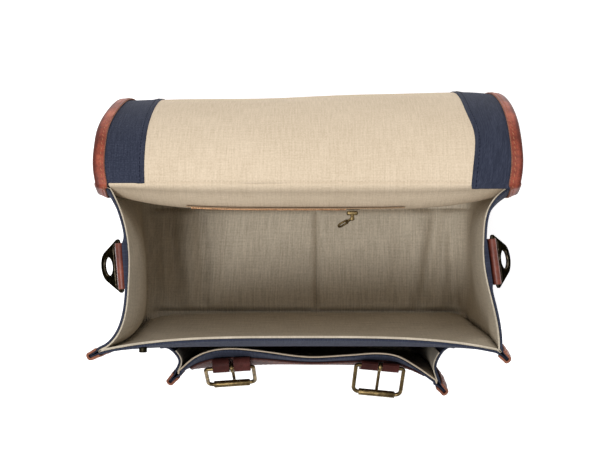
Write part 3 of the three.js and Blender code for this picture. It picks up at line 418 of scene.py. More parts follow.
class Finish:
    """A socket of a finish's nodes. Sums on it add Math nodes, and node() adds any other node."""

    def __init__(self, tree, socket=None):
        self.tree = tree
        self.socket = socket

    def node(self, kind, settings=None, inputs=None, output=0):
        made = self.tree.nodes.new(kind)
        for key, value in (settings or {}).items():
            if key == "stops":
                ramp = made.color_ramp
                ramp.elements[0].position, ramp.elements[-1].position = value[0][0], value[-1][0]
                for at, _ in value[1:-1]:
                    ramp.elements.new(at)
                for element, (_, colour) in zip(ramp.elements, value):
                    element.color = (*colour, 1)
            else:
                setattr(made, key, value)
        for key, value in (inputs or {}).items():
            if isinstance(value, Finish):
                self.tree.links.new(value.socket, made.inputs[key])
            else:
                made.inputs[key].default_value = value
        return Finish(self.tree, made.outputs[output])

    def split(self):
        return [self.node("ShaderNodeSeparateXYZ", {}, {"Vector": self}, axis) for axis in "XYZ"]

    def sum(self, operation, a, b, kept_in=False):
        return self.node("ShaderNodeMath", {"operation": operation, "use_clamp": kept_in}, {0: a, 1: b})

    def __add__(self, other):
        return self.sum("ADD", self, other)

    def __sub__(self, other):
        return self.sum("SUBTRACT", self, other)

    def __rsub__(self, other):
        return self.sum("SUBTRACT", other, self)

    def __mul__(self, other):
        return self.sum("MULTIPLY", self, other)


def new_finish(name, fixed, coords):
    """A new finish: its material, its shader, and the coordinates to build on."""
    material, shader = new_material(name, fixed)
    return material, shader, Finish(material.node_tree).node("ShaderNodeTexCoord", output=coords)


def feed(shader, **links):
    for socket, value in links.items():
        value.tree.links.new(value.socket, shader.inputs[socket.replace("_", " ").title()])


def noise(coords, scale, detail=2.0, rough=0.5, stretch=(1.0, 1.0, 1.0)):
    spread = coords.node("ShaderNodeMapping", {}, {"Vector": coords, "Scale": stretch})
    return coords.node("ShaderNodeTexNoise", {}, {"Vector": spread, "Scale": scale, "Detail": detail,
                                                  "Roughness": rough})


def shades(value, *stops):
    return value.node("ShaderNodeValToRGB", {"stops": stops}, {"Fac": value})


def relief(height, strength, distance):
    return height.node("ShaderNodeBump", {}, {"Strength": strength, "Distance": distance, "Height": height})


# Where painted shade darkens the lining's front corner creases below the rim: place in plan and radius, in
# metres
CREASE_SHADE_SPOTS = [(-0.161, -0.0665, 0.014), (0.160, -0.0665, 0.013)]
CREASE_SHADE_TOP = 0.246
CREASE_SHADE_FADE = 40


def corner_crease_shade(place):
    """How much painted shade darkens the lining: 1 in the crease of a front corner, and nothing a little way
    out of it.
    """
    x, y, z = place.split()
    near = []
    for corner_x, corner_y, radius in CREASE_SHADE_SPOTS:
        across, along = x - corner_x, y - corner_y
        away = (across * across + along * along) * radius ** -2
        near.append(place.sum("SUBTRACT", 1, away, kept_in=True))
    return (near[0] + near[1]) * place.sum("MULTIPLY", CREASE_SHADE_TOP - z, CREASE_SHADE_FADE, kept_in=True)


def woven(name, dark, middle, light, thread, slub, rough, bump, uneven=(1.1, 0.6), crease_shade=None):
    """Plain-woven cloth on its own cut: crossing threads, yarns uneven along and across it, soft mottling,
    and, when given a colour for it, painted shade in the front corner creases.
    """
    material, shader, cut = new_finish(name, {"Specular IOR Level": 0.2}, "UV")
    wave = [cut.sum("SINE", axis * (2 * math.pi / thread), 0) for axis in cut.split()[:2]]
    cross = wave[0] * wave[1]
    warp = noise(cut, slub, stretch=(1.0, 0.06, 1.0))
    weft = noise(cut, slub, stretch=(0.06, 1.0, 1.0))
    fleck = noise(cut, slub * 0.8)
    cloud = noise(cut, 14.0, 3.0)
    yarn = (warp - 0.5) * uneven[0] + (weft - 0.5) * uneven[1] + (fleck - 0.5) * 0.8
    tone = yarn + (cloud - 0.5) * 0.35 + cross * 0.05 + 0.5
    stops = [(0.2, dark), (0.5, middle), (0.8, light)]
    # Painted shade: the lining's tone is pulled down to a dark brown in the creases of the front corners,
    # fading out towards the rim.
    if crease_shade:
        place = cut.node("ShaderNodeTexCoord", output="Object")
        tone = cut.sum("MAXIMUM", tone, 0.2) - corner_crease_shade(place) * 0.5
        stops.insert(0, (0.0, crease_shade))
    feed(shader, base_color=shades(tone, *stops), roughness=tone * 0.1 + rough,
         normal=relief(cross * 0.35 + yarn, bump, 0.0004))
    return material


navy_canvas = woven("navy_canvas", (0.013, 0.016, 0.030), (0.025, 0.030, 0.051), (0.050, 0.057, 0.088),
                    0.0010, 1000.0, 0.85, 0.4, (0.6, 0.35))
beige_cotton = woven("beige_cotton", (0.48, 0.386, 0.277), (0.562, 0.461, 0.339), (0.635, 0.526, 0.399),
                     0.0008, 900.0, 0.9, 0.25, (0.75, 0.45))
# A darker, greyer copy of the beige lining for the cloth inside the bag and the pocket's bellows: painted
# shade of the deep inside. Its last colour is the painted shade of the front corner creases.
shaded_inner_cotton = woven("shaded_inner_cotton", (0.405, 0.354, 0.277), (0.50, 0.440, 0.348), (0.595, 0.525, 0.420),
                     0.0008, 700.0, 0.9, 0.25, (0.5, 1.2), (0.10, 0.085, 0.065))
front_tilt = tilt_from(*FRONT_TILT)


def front_y(x, z):
    row = body_at(z)
    share = clamp((x - front_lean(z)) / row.seam_x, -1)
    shift = SEAM_ROOM * math.cos(math.radians(front_tilt(z, share, 0)))
    return row.front_y + row.front_in * drawn(share, FRONT_CURVE) - shift


def body_stations(top):
    return u_stations(top, FLANGE_HEIGHT, BASE_HALF_WIDTH, CORNER_RADIUS, lambda z: body_at(z).seam_x)


front_places = [(x + front_lean(z), z, *out) for x, z, *out in body_stations(RIM_HEIGHT)]
front_seam = seam_along(front_places, lambda x, z: body_at(z).front_y, front_tilt, FORWARD)
front_rows = panel_rows(front_seam, front_y)
front_outside = flanged_sheet(front_rows, front_seam, FORWARD)
sewn("front_wall", front_outside, 0, panel_canvas(front_outside, front_rows, front_seam), navy_canvas,
     "navy_canvas", "front_panel", "stretched", "side_gusset_left", "side_gusset_right")

HEM = 0.7
HEM_DEPTH = 5
SLACK = 11
SLACK_HEIGHT = 95
SLACK_CURVE = 6
BULGE = {"left": 1.5, "right": 5.5}
BULGE_AT = 12
BULGE_FADE = 40
DIVES = (1.3, 2.6)
TUCKED = 0.45


def hem(heights, top):
    return HEM * np.clip(1 - ((top - heights) / HEM_DEPTH) ** 2, 0, 1)


def bulge(side, apart, z):
    """How far a lining stands off beside its seam, so that a deep crease lies between two of them."""
    share = apart / BULGE_AT
    return BULGE[side] * share * math.exp(1 - share) * min((RIM_HEIGHT - z) / BULGE_FADE, 1)


def tucked_edge(seam, stations, side):
    """The lining's edge beyond its panel: it dives into the outward seam between the two canvases."""
    return np.array([[on_flange(seam, k, side, reach) for reach in DIVES] for k in stations])


def lining_low(sheet, columns, full):
    """The lining's inner face: hemmed at the rim, and thin where its edges are tucked into the seams."""
    inner = -GAP - LINING - full * hem(sheet.points[:, 2], RIM_HEIGHT).reshape(-1, columns)
    inner[:, :len(DIVES)] = inner[:, -len(DIVES):] = -GAP - TUCKED
    return inner.ravel()


slack_rows = front_rows.copy()
for x, y, z in np.nditer([slack_rows[..., i] for i in range(3)], op_flags=["readwrite"]):
    apart = body_at(z).seam_x - abs(x - front_lean(z))
    hangs = SLACK * max(1 - z / SLACK_HEIGHT, 0) ** 1.5 * drawn(x / BASE_HALF_WIDTH, SLACK_CURVE)
    y += hangs
    y += bulge("left" if x < 0 else "right", max(apart, 0), z)
down_left = range(len(slack_rows))
down_right = [len(front_seam.points) - 1 - k for k in down_left]
slack_rows = np.concatenate([tucked_edge(front_seam, down_left, 1)[:, ::-1], slack_rows,
                             tucked_edge(front_seam, down_right, 1)], axis=1)
front_inside = grid_sheet(slack_rows, FORWARD)
sewn("front_lining", front_inside, lining_low(front_inside, slack_rows.shape[1], 1.0), -GAP, shaded_inner_cotton,
     "beige_lining", "lining_front", "hung", "front_wall")

# The back wall: canvas and lining as in front, but their top bends over backwards to the flap's hinge,
# so that a long lens of lining shows above the zip.
BACKWARD = np.array([0.0, 1.0, 0.0])
BACK_SEAM_TOP = 243
BACK_TILT = 12
BACK_CURVE = 4
BEND_LEAN = 0.42
BEND_STEPS = 12
HINGE_Y = 66
FLAP_HALF_WIDTH = 168
back_tilt = tilt_from(BACK_TILT, BACK_TILT)
back_facing = np.array([0, 1, -0.2])


def back_y(x, z):
    row = body_at(z)
    shift = SEAM_ROOM * math.cos(math.radians(back_tilt(z, 0, 0)))
    return row.back_y - row.back_in * drawn(x / row.seam_x, BACK_CURVE) + shift


def bend_row(start_row, t):
    """The back wall's top row carried a share of the way over to the hinge."""
    row = []
    for x, y, z in start_row:
        lean = BEND_LEAN * drawn(x / start_row[0][0], BACK_CURVE)
        rise = RIM_HEIGHT - z
        control = y + lean * rise
        bent = (1 - t) ** 2 * y + 2 * t * (1 - t) * control + t * t * HINGE_Y
        row.append((x, bent, z + rise * (1 - (1 - t) ** 2)))
    return row


back_seam = seam_along(body_stations(BACK_SEAM_TOP), lambda x, z: body_at(z).back_y, back_tilt, BACKWARD)
back_rows = panel_rows(back_seam, back_y)
bend_rows = np.array([bend_row(back_rows[0], 1 - k / BEND_STEPS) for k in range(BEND_STEPS)])


def back_sheet():
    """The flanged back wall, with its bend and the two corners that run out to the flap's width."""
    points, faces, uv = flanged_sheet(back_rows, back_seam, back_facing)
    width = back_rows.shape[1]
    last = len(back_seam.points) - 1
    outer = len(points) - last - 1
    below = [outer, *range(width), outer + last]
    grown, extra, quads = [points], [uv], []
    count = len(points)
    start_y = back_rows[0][:, 1].mean()
    for row in bend_rows[::-1]:
        whole = np.concatenate([[row[0]], row, [row[-1]]])
        whole[0][0], whole[-1][0] = -FLAP_HALF_WIDTH, FLAP_HALF_WIDTH
        here = list(range(count, count + width + 2))
        count += width + 2
        grown.append(whole)
        extra.append(np.stack([whole[:, 0], whole[:, 1] - start_y + RIM_HEIGHT], axis=1) * MM)
        quads += [[here[i], here[i + 1], below[i + 1], below[i]] for i in range(width + 1)]
        below = here
    points = np.concatenate(grown)
    quads = turned(np.array(quads), points, back_facing)
    return Sheet(points, np.concatenate([faces, quads]), np.concatenate(extra))


back_outside = back_sheet()
sewn("back_wall", back_outside, 0, panel_canvas(back_outside, back_rows, back_seam), navy_canvas,
     "navy_canvas", "back_panel", "stretched", "side_gusset_left", "side_gusset_right")
back_inside = grid_sheet(np.concatenate([bend_rows, back_rows]), back_facing)
sewn("back_lining", back_inside, -GAP - LINING, -GAP, beige_cotton, "beige_lining", "lining_back", "hung",
     "back_wall")

# The side gussets: a strip of canvas down each side and across half the base, drawn in along its own
# fold, with a lining that lies loosely on the base in soft ridges.
GUSSET_FOLD = {"left": 0.40, "right": 0.70}
GUSSET_DEPTH = {"left": 1.02, "right": 0.87}
SIDE_CURVE = 2.8
BASE_CURVE = 8
ACROSS_STEPS = 64
BASE_SEAM_X = 10
BASE_DROP = FLANGE_HEIGHT - SEAM_ROOM - CANVAS
# Where the base lining is ruffled: place along the bag, width of the fold, height, slant, and the middle
# and half length of the fold from back to front
LINING_RIDGES = [
    (-146, 6, 4.0, 0.10, 10, 60),
    (-132, 5, -3.5, 0.08, 0, 50),
    (-116, 7, 4.5, 0.06, -5, 60),
    (-103, 5, -5.0, 0.05, 15, 45),
    (-90, 6, 3.5, -0.12, -20, 40),
    (-68, 8, 2.5, -0.30, -10, 45),
    (-46, 9, -2.0, -0.20, 10, 30),
    (92, 7, -3.0, -0.10, -5, 45),
    (109, 8, 5.0, -0.14, 5, 60),
    (123, 6, -6.0, -0.16, 5, 60),
    (138, 7, 5.0, -0.04, -5, 50),
    (148, 5, -4.0, 0.10, -20, 40),
    (94, 4, -2.5, 0.35, -42, 12),
    (106, 4, -2.5, -0.30, -42, 12),
    (136, 4, -3.0, 0.40, -42, 12),
    (-116, 4, -2.5, 0.35, -42, 12),
]
# How far the base lining puffs up, below which height, and where its puff ends: middle, half, sharpness
BASE_PUFF = 8
PUFF_HEIGHT = 40
PUFF_DEEP = (-1, 50.5, 26)
PUFF_WIDE = (BASE_SEAM_X, 168, 30)
SEAM_DIP = 5
SEAM_DIP_WIDTH = 3
SEAM_OPEN = 0.6
GUSSET_HEM = 0.2


def gusset_bow(t, fold, curve):
    skew = math.log(0.5) / math.log(fold)
    return drawn(2 * t ** skew - 1, curve)


def puffed(value, middle, half, sharpness):
    return drawn((value - middle) / half, sharpness)


def base_rise(x, y):
    """How far the base lining stands up from the base, with its ridges and the dip along its seam."""
    ridges = sum(height * swell(x + slant * y, place, width) * swell(y, middle, reach)
                 for place, width, height, slant, middle, reach in LINING_RIDGES)
    rise = BASE_PUFF + ridges - SEAM_DIP * swell(x, BASE_SEAM_X, SEAM_DIP_WIDTH)
    return rise, puffed(y, *PUFF_DEEP) * puffed(x, *PUFF_WIDE)


def gusset_row(k, seam_end, flanges):
    """Across the gusset at one place of the two seams, with both flanges or, for the lining, tucked edges."""
    seams = front_seam, back_seam
    front_point, back_point = (seam.points[k] - seam.side[k] * SEAM_ROOM for seam in seams)
    out = front_seam.out[k]
    down = -out[2]
    side = "left" if front_point[0] < BASE_SEAM_X else "right"
    inward = lerp(body_at(front_seam.points[k][2]).side_in * GUSSET_DEPTH[side], -BASE_DROP, down)
    curve = lerp(SIDE_CURVE, BASE_CURVE, down)
    fold = lerp(GUSSET_FOLD[side], 0.5, down)
    row = []
    for i in range(ACROSS_STEPS + 1):
        t = i / ACROSS_STEPS
        row.append(lerp(front_point, back_point, t) - out * inward * gusset_bow(t, fold, curve))
    reaches = FLANGE_REACH if flanges else DIVES
    before, after = ([on_flange(seam, k, -1, reach) for reach in reaches] for seam in seams)
    row = np.array(before[::-1] + row + after)
    row[:, 0] += seam_end
    return row


# The strap rings' leather tabs are stiff, so the canvas is drawn out flat behind each of them.
RING_TAB_WIDTH = 37
RING_TAB_FOOT = 204
DRAWN_FADE = 9
# Places across a tab, as shares of its half width
TAB_SHARES = (-1, -0.5, 0, 0.5, 1)
# Side, how far out and where along the gusset the bar lies, its turn in plan, and how far the ring hangs out
RINGS = {"left": (-1, 150.082, 0, 4.6, 36), "right": (1, 149.734, 3.6, 7.4, 31)}


def gusset_face(side, y, z):
    row = body_at(z)
    t = (y - row.front_y) / (row.back_y - row.front_y)
    tilt = math.radians(front_tilt(z, side, 0))
    name = "left" if side < 0 else "right"
    inward = row.side_in * GUSSET_DEPTH[name] * gusset_bow(t, GUSSET_FOLD[name], SIDE_CURVE)
    lean = side * front_lean(z) * (1 - t)
    return row.seam_x + lean - inward + SEAM_ROOM * math.sin(tilt) + CANVAS


def ring_seat(side, y, turn, z):
    lean = side * math.sin(math.radians(turn))
    half = RING_TAB_WIDTH / 2
    return max(gusset_face(side, y + s * half, z) + s * half * lean for s in TAB_SHARES) + GAP


def drawn_out(name, point):
    """How much further out the gusset's canvas lies behind the stiff tab of a strap ring."""
    side, _, middle, turn, _ = RINGS[name]
    x, y, z = point
    apart = y - middle
    beyond = max(abs(apart) - RING_TAB_WIDTH / 2, RING_TAB_FOOT - z, 0) / DRAWN_FADE
    if beyond > 1 or side * x < 0:
        return 0
    flat = ring_seat(side, middle, turn, z) - side * apart * math.tan(math.radians(turn)) - GAP
    return max(flat - gusset_face(side, y, z), 0) * (1 - beyond) ** 2


stations = len(front_seam.points)
base_seam = min(range(SIDE_STEPS + ARC_STEPS, stations - SIDE_STEPS - ARC_STEPS),
                key=lambda k: abs(front_seam.points[k][0] - BASE_SEAM_X))
across_canvas = FLANGE_CANVAS[::-1] + [CANVAS] * (ACROSS_STEPS + 1) + FLANGE_CANVAS
for name, span, sign in (("left", range(base_seam + 1), -1), ("right", range(base_seam, stations), 1)):
    towards = np.array([sign, 0, -1.0])
    seam_end = sign * GAP / 2 + BASE_SEAM_X - front_seam.points[base_seam][0]
    outside = grid_sheet([gusset_row(k, seam_end if k == base_seam else 0, True) for k in span], towards)
    swelling = np.array([drawn_out(name, point) for point in outside.points])
    sewn(f"{name}_gusset", outside, 0, np.tile(across_canvas, len(span)) + swelling, navy_canvas,
         "navy_canvas", f"side_gusset_{name}", "stretched", "front_panel", "back_panel")
    seam_end += sign * SEAM_OPEN / 2
    inside_rows = [gusset_row(k, seam_end if k == base_seam else 0, False) for k in span]
    inside = grid_sheet(inside_rows, towards)
    loose = []
    for x, y, z in inside.points:
        on_base = max(0, 1 - z / PUFF_HEIGHT)
        rise, edge = base_rise(x, y)
        apart = max(y - body_at(z).front_y, 0)
        loose.append(rise * on_base * edge + bulge(name, apart, z) * (1 - on_base))
    loose = np.array(loose)
    low = lining_low(inside, len(inside_rows[0]), GUSSET_HEM) - loose
    sewn(f"{name}_gusset_lining", inside, low, -GAP - loose, shaded_inner_cotton,
         "beige_lining", f"lining_gusset_{name}", "hung", f"{name}_gusset")

# Leather bindings of the two body seams: a strip of tan leather folded over both flanges and stitched
# through. Their cut ends stand open at the rim, with the canvas showing in the middle.
BINDING = 1.8
BINDING_START = 3.4
BINDING_CLEAR = 0.3
PROUD = 2
NOSE = 1.4
NOSE_STEPS = 10
LEG_STEPS = 4
# The fold's half width in millimetres, and how sharply its darkening ends
FOLD_DARK_HALF = 5.5
FOLD_DARK_FADE = 0.3


def leather(name, dark, middle, light, rough, gloss, fold_dark=0.0):
    """Waxed leather: cloudy dye, fine pores and pressed grain, and, when asked, darker along a fold's nose.
    """
    fixed = {"Coat Roughness": 0.4, "Specular IOR Level": gloss}
    material, shader, place = new_finish(name, fixed, "Object")
    cloud = noise(place, 55.0, 4.0, 0.6)
    pores = place.node("ShaderNodeTexVoronoi", {"feature": "F1"}, {"Vector": place, "Scale": 1100.0})
    creases = noise(place, 420.0, 3.0)
    patches = noise(place, 26.0)
    tone = cloud * 0.6 + patches * 0.5 + creases * 0.25 - pores * 0.12 - 0.1
    # The strip is made darker within a few millimetres of its fold's nose.
    if fold_dark:
        across = place.node("ShaderNodeTexCoord", output="UV").split()[0]
        away = place.sum("ABSOLUTE", across * 1000, 0)
        fold = place.sum("MULTIPLY", FOLD_DARK_HALF - away, FOLD_DARK_FADE, kept_in=True)
        tone = tone - fold * fold_dark
    feed(shader, base_color=shades(tone, (0.3, dark), (0.52, middle), (0.76, light)),
         roughness=creases * 0.22 + rough, coat_weight=cloud * (gloss / 2),
         normal=relief(pores * 0.6 + creases * 0.6, 0.3, 0.0003))
    return material


def plain_fibre(name, dark, light, scale):
    fixed = {"Roughness": 0.8, "Specular IOR Level": 0.2}
    material, shader, place = new_finish(name, fixed, "Object")
    fibres = noise(place, scale, 3.0)
    feed(shader, base_color=shades(fibres, (0.3, dark), (0.7, light)), normal=relief(fibres, 0.4, 0.0002))
    return material


tan_binding = leather("tan_binding", (0.09, 0.016, 0.009), (0.25, 0.050, 0.026), (0.52, 0.150, 0.074),
                      0.42, 0.22, 0.32)
raw_edge = plain_fibre("raw_edge", (0.16, 0.060, 0.036), (0.30, 0.125, 0.078), 900.0)
tan_thread = plain_fibre("tan_thread", (0.25, 0.085, 0.045), (0.42, 0.17, 0.09), 1500.0)
navy_thread = plain_fibre("navy_thread", (0.003, 0.004, 0.012), (0.008, 0.011, 0.030), 1500.0)
beige_thread = plain_fibre("beige_thread", (0.36, 0.285, 0.20), (0.48, 0.39, 0.28), 1500.0)


def fold_profile(near, far, half_at, thick):
    """The middle line of a strip folded over an edge: out along one side, round, and back along the other."""
    legs = [lerp(near, far, k / LEG_STEPS) for k in range(LEG_STEPS)]
    leg = [(a, half_at(a) + thick / 2) for a in legs]
    half = half_at(far) + thick / 2
    nose = []
    for k in range(NOSE_STEPS + 1):
        angle = math.pi / 2 - math.pi * k / NOSE_STEPS
        nose.append((far + NOSE * math.cos(angle), half * math.sin(angle)))
    return leg + nose + [(a, -b) for a, b in reversed(leg)]


def taken():
    """The points and faces of the piece just made, which is then deleted."""
    mesh = bpy.context.object.data
    points = np.array([tuple(v.co) for v in mesh.vertices])
    faces = [list(p.vertices) for p in mesh.polygons]
    bpy.ops.object.delete()
    return points, faces


def many(name, copies, faces, skin):
    """One piece of many alike bodies, from the points of each in metres and the faces that all share."""
    size = len(copies[0])
    shell = [[i + n * size for i in face] for n in range(len(copies)) for face in faces]
    return meshed(name, np.concatenate(copies), shell, skin)


bpy.ops.object.select_all(action="DESELECT")
bpy.ops.mesh.primitive_uv_sphere_add(segments=6, ring_count=4, radius=1.0)
bead_points, bead_faces = taken()
bead_points = bead_points[:, [2, 0, 1]]
STITCH_LOOK = 0.8
STITCH_FLAT = 0.8
STITCH_SMOOTH = 80


def stitches(name, path, ups, thread, slot, pitch=4.6, length=3.4, thick=0.42, slant=0.0):
    """A row of stitches along a path on a surface, each one a short bead of thread half sunk in it."""
    path, ups = np.asarray(path, dtype=float), np.asarray(ups, dtype=float)
    run = np.pad(np.linalg.norm(np.diff(path, axis=0), axis=1).cumsum(), (1, 0))
    count = int(run[-1] // pitch)

    def at(place, line):
        return np.array([np.interp(place, run, line[:, i]) for i in range(3)])

    beads = []
    for n in range(count):
        place = (n + 0.5) * run[-1] / count
        up = at(place, ups)
        up /= np.linalg.norm(up)
        tangent = at(place + STITCH_LOOK, path) - at(place - STITCH_LOOK, path)
        tangent -= up * np.dot(tangent, up)
        tangent /= np.linalg.norm(tangent)
        across = np.cross(up, tangent)
        tangent = tangent * math.cos(slant) + across * math.sin(slant)
        across = np.cross(up, tangent)
        axes = np.stack([tangent * length / 2, across * thick, up * thick * STITCH_FLAT])
        beads.append((at(place, path) + bead_points @ axes) * MM)
    piece = many(name, beads, bead_faces, thread)
    smoothed(piece, STITCH_SMOOTH)
    fix(piece, "bag", slot)


STITCH_IN = 2.3
# Height, pace and start of the two waves that make a seam's binding uneven
RIPPLES = [(0.2, 0.9, 0), (0.15, 0.37, 1)]


def folded_strip(name, stations, profile, node):
    """A strip of tan leather folded over an edge, from its stations: places, ways outwards and sideways."""
    rows = np.array([[o + u * a + v * b for a, b in profile] for o, u, v in zip(*stations)])
    strip = grid_sheet(rows, FORWARD)
    middle = len(profile) // 2
    if np.dot(face_ups(strip.points, strip.faces[middle:middle + 1])[0], stations[1][0]) < 0:
        strip = strip._replace(faces=strip.faces[:, ::-1])
    fix(cloth(name, strip, -BINDING / 2, BINDING / 2, tan_binding, raw_edge), "bag", "tan_leather", node)


def seam_half(reach):
    return pinch(reach) + PRESSED + BINDING_CLEAR


def seam_binding(name, node, seam):
    """The binding of one outward seam, with a row of stitches on each of its faces."""
    ripple = np.array([sum(height * math.sin(k * pace + start) for height, pace, start in RIPPLES)
                       for k in range(len(seam.points))])
    origins = seam.points + seam.side * ripple[:, None]
    profile = fold_profile(BINDING_START, FLANGE + BINDING_CLEAR, seam_half, BINDING)
    ends = [2 * origins[i] - origins[i + step] for i, step in ((0, 1), (-1, -1))]
    proud = [lerp(origins[i], end, PROUD / np.linalg.norm(end - origins[i])) for i, end in zip((0, -1), ends)]
    whole = [[proud[0], *origins, proud[1]]]
    whole += [[column[0], *column, column[-1]] for column in (seam.flange, seam.side)]
    folded_strip(name, whole, profile, node)
    reach = BINDING_START + STITCH_IN
    for face, sign in (("outer", 1), ("inner", -1)):
        path = origins + seam.flange * reach + seam.side * sign * (seam_half(reach) + BINDING)
        stitches(f"{name}_{face}_stitches", path, seam.side * sign, tan_thread, "tan_leather")


seam_binding("front_seam_binding", "front_binding", front_seam)
seam_binding("back_seam_binding", "back_binding", back_seam)

# The flap: canvas thrown back over the rear, its beige lining uppermost, a navy facing strip round the
# lining and a leather binding round the whole edge. It is sewn to the back wall's bend along the hinge.
FLAP_LENGTH = 285
FLAP_FLAT = 5
FLAP_REACH = 77.3
FLAP_SKEW = 4.6
FLAP_DROP = 150
FLAP_CORNER = 34
ELLIPSE_STEPS = 90
CORNER_STEPS = 12
FLAP_STEPS = 64
FLAP_COLUMNS = 40
FLAP_LOOK = 4
FLAP_BEND = HINGE_Y + FLAP_FLAT
FLAP_BACK = FLAP_BEND + FLAP_REACH
flap_line = [(0.0, HINGE_Y + GAP, float(RIM_HEIGHT))]


def extend_flap(y, z):
    along, last_y, last_z = flap_line[-1]
    flap_line.append((along + math.hypot(y - last_y, z - last_z), y, z))


extend_flap(FLAP_BEND, RIM_HEIGHT)
for k in range(1, ELLIPSE_STEPS + 1):
    angle = math.pi / 2 * k / ELLIPSE_STEPS
    extend_flap(FLAP_BEND + FLAP_REACH * math.sin(angle), RIM_HEIGHT - FLAP_DROP * (1 - math.cos(angle)))
hangs = flap_line[-1][0]
extend_flap(FLAP_BACK, RIM_HEIGHT - FLAP_DROP - (FLAP_LENGTH - hangs))
flap_table = np.array(flap_line)


def flap_skew(x):
    """How much further out the flap hangs, away from its middle."""
    return FLAP_SKEW * x / FLAP_HALF_WIDTH


# How far the flap's left edge is drawn in, and its right corner back, where the flap turns down: from
# which share of its reach, and over how much of it
LEFT_PULL = 5.0
RIGHT_PULL = 4.5
PULL_FROM = 0.45
PULL_OVER = 0.5
# How far both edges are drawn in beside the hinge, and how far along the flap that reaches
WAIST = 2.4
WAIST_REACH = 22


def flap_line_at(x, along):
    y, z = (np.interp(along, flap_table[:, 0], flap_table[:, i]) for i in (1, 2))
    y += min(along, 0)
    out = max(y - FLAP_BEND, 0) / FLAP_REACH
    share = min(abs(x) / FLAP_HALF_WIDTH, 1)
    turn = clamp((out - PULL_FROM) / PULL_OVER)
    pull = turn * turn * (3 - 2 * turn) * share ** 4
    x -= math.copysign(WAIST, x) * (1 - clamp(along / WAIST_REACH)) ** 2 * share ** 6
    if x < 0:
        return np.array([x + LEFT_PULL * pull, y + out * flap_skew(x), z])
    return np.array([x, y + out * flap_skew(x) - RIGHT_PULL * pull * share ** 4, z])


def flap_axes(x, along):
    """At a place on the flap: the way along it, the way across it, and the way out of its canvas side."""
    run = flap_line_at(x, min(along + FLAP_LOOK, FLAP_LENGTH)) - flap_line_at(x, along - FLAP_LOOK)
    across = flap_line_at(x + 1, along) - flap_line_at(x - 1, along)
    run, across = run / np.linalg.norm(run), across / np.linalg.norm(across)
    return run, across, np.cross(run, across)


def flap_wave(x, along):
    """A slow wave over the flap's cloth, in millimetres, that dies away at the hinge and towards the end."""
    rise = clamp(along / 40) * clamp((FLAP_LENGTH - along) / 60, 0.3)
    long_wave = 0.55 * math.sin(x * 0.021 + along * 0.011 + 0.6)
    return rise * (long_wave + 0.35 * math.sin(x * 0.047 - along * 0.019))


def flap_point(x, along):
    return flap_line_at(x, along) + flap_axes(x, along)[2] * flap_wave(x, along)


corner_start = FLAP_LENGTH - FLAP_CORNER
corner_angles = [math.pi / 2 * k / CORNER_STEPS for k in range(CORNER_STEPS + 1)]
corner_along = [corner_start + FLAP_CORNER * math.sin(a) for a in corner_angles]
corner_half = [FLAP_HALF_WIDTH - FLAP_CORNER * (1 - math.cos(a)) for a in corner_angles]
body_along = [corner_start * k / FLAP_STEPS for k in range(FLAP_STEPS)]
flap_columns = [k / FLAP_COLUMNS - 1 for k in range(2 * FLAP_COLUMNS + 1)]
flap_outside = np.array([0, -1.0, -1.0])
flap_halves = [FLAP_HALF_WIDTH] * len(body_along) + corner_half
flap_rows = [[flap_point(share * half, along) for share in flap_columns]
             for along, half in zip(body_along + corner_along, flap_halves)]
flap_sheet = grid_sheet(flap_rows, flap_outside)
sewn("flap_canvas", flap_sheet, 0, CANVAS, navy_canvas, "navy_canvas", "flap", "hung", "back_wall")

FACING_INNER = 130
# The right facing's inner edge bows out a little, and the lining reaches it: how far, where and how long
FACING_BOW = 4
BOW_MIDDLE = 38
BOW_LENGTH = 24
# Puckers along the hinge: place, width and height, and how far they reach along the flap
PUCKERS = [(-47, 10, 1.0), (-38, 7, 0.8), (-24, 9, 0.9)]
PUCKER_REACH = 7
LINING_STEPS = 70
LINING_COLUMNS = 48
lining_half = FACING_INNER - GAP
facing_end = FLAP_LENGTH - (FLAP_HALF_WIDTH - FACING_INNER)


def hinge_pucker(x, along):
    fade = swell(along, 0, PUCKER_REACH)
    return fade * sum(height * swell(x, place, width) for place, width, height in PUCKERS)


def facing_bow(side, along):
    return FACING_BOW * swell(along, BOW_MIDDLE, BOW_LENGTH) if side > 0 else 0


def lining_place(x, along):
    reach = facing_bow(x, along) * max(x / lining_half, 0) ** 3
    return flap_point(x + reach, along)


lining_along = [(facing_end - GAP) * (k / LINING_STEPS) for k in range(LINING_STEPS + 1)]
lining_columns = [lining_half * (k / LINING_COLUMNS - 1) for k in range(2 * LINING_COLUMNS + 1)]
lining_rows = [[lining_place(x, along) for x in lining_columns] for along in lining_along]
puckered = np.array([hinge_pucker(x, along) for along in lining_along for x in lining_columns])
sewn("flap_lining_cloth", grid_sheet(lining_rows, flap_outside), -GAP - LINING - puckered,
     -GAP - puckered * 0.8, beige_cotton, "beige_lining", "flap_lining", "laid", "flap_canvas")

END_STEPS = 60
FlapEdge = namedtuple("FlapEdge", "x along out_x out_along")
flap_side = [FlapEdge(-FLAP_HALF_WIDTH, along, -1.0, 0.0) for along in body_along]
flap_arc = [FlapEdge(-half, along, -math.cos(angle), math.sin(angle))
            for half, along, angle in zip(corner_half, corner_along, corner_angles)]
reach = FLAP_HALF_WIDTH - FLAP_CORNER
flap_end = [FlapEdge(lerp(-reach, reach, k / END_STEPS), FLAP_LENGTH, 0.0, 1.0) for k in range(1, END_STEPS)]
flap_left = flap_side + flap_arc
flap_right = [edge._replace(x=-edge.x, out_x=-edge.out_x) for edge in reversed(flap_left)]
flap_edge = flap_left + flap_end + flap_right
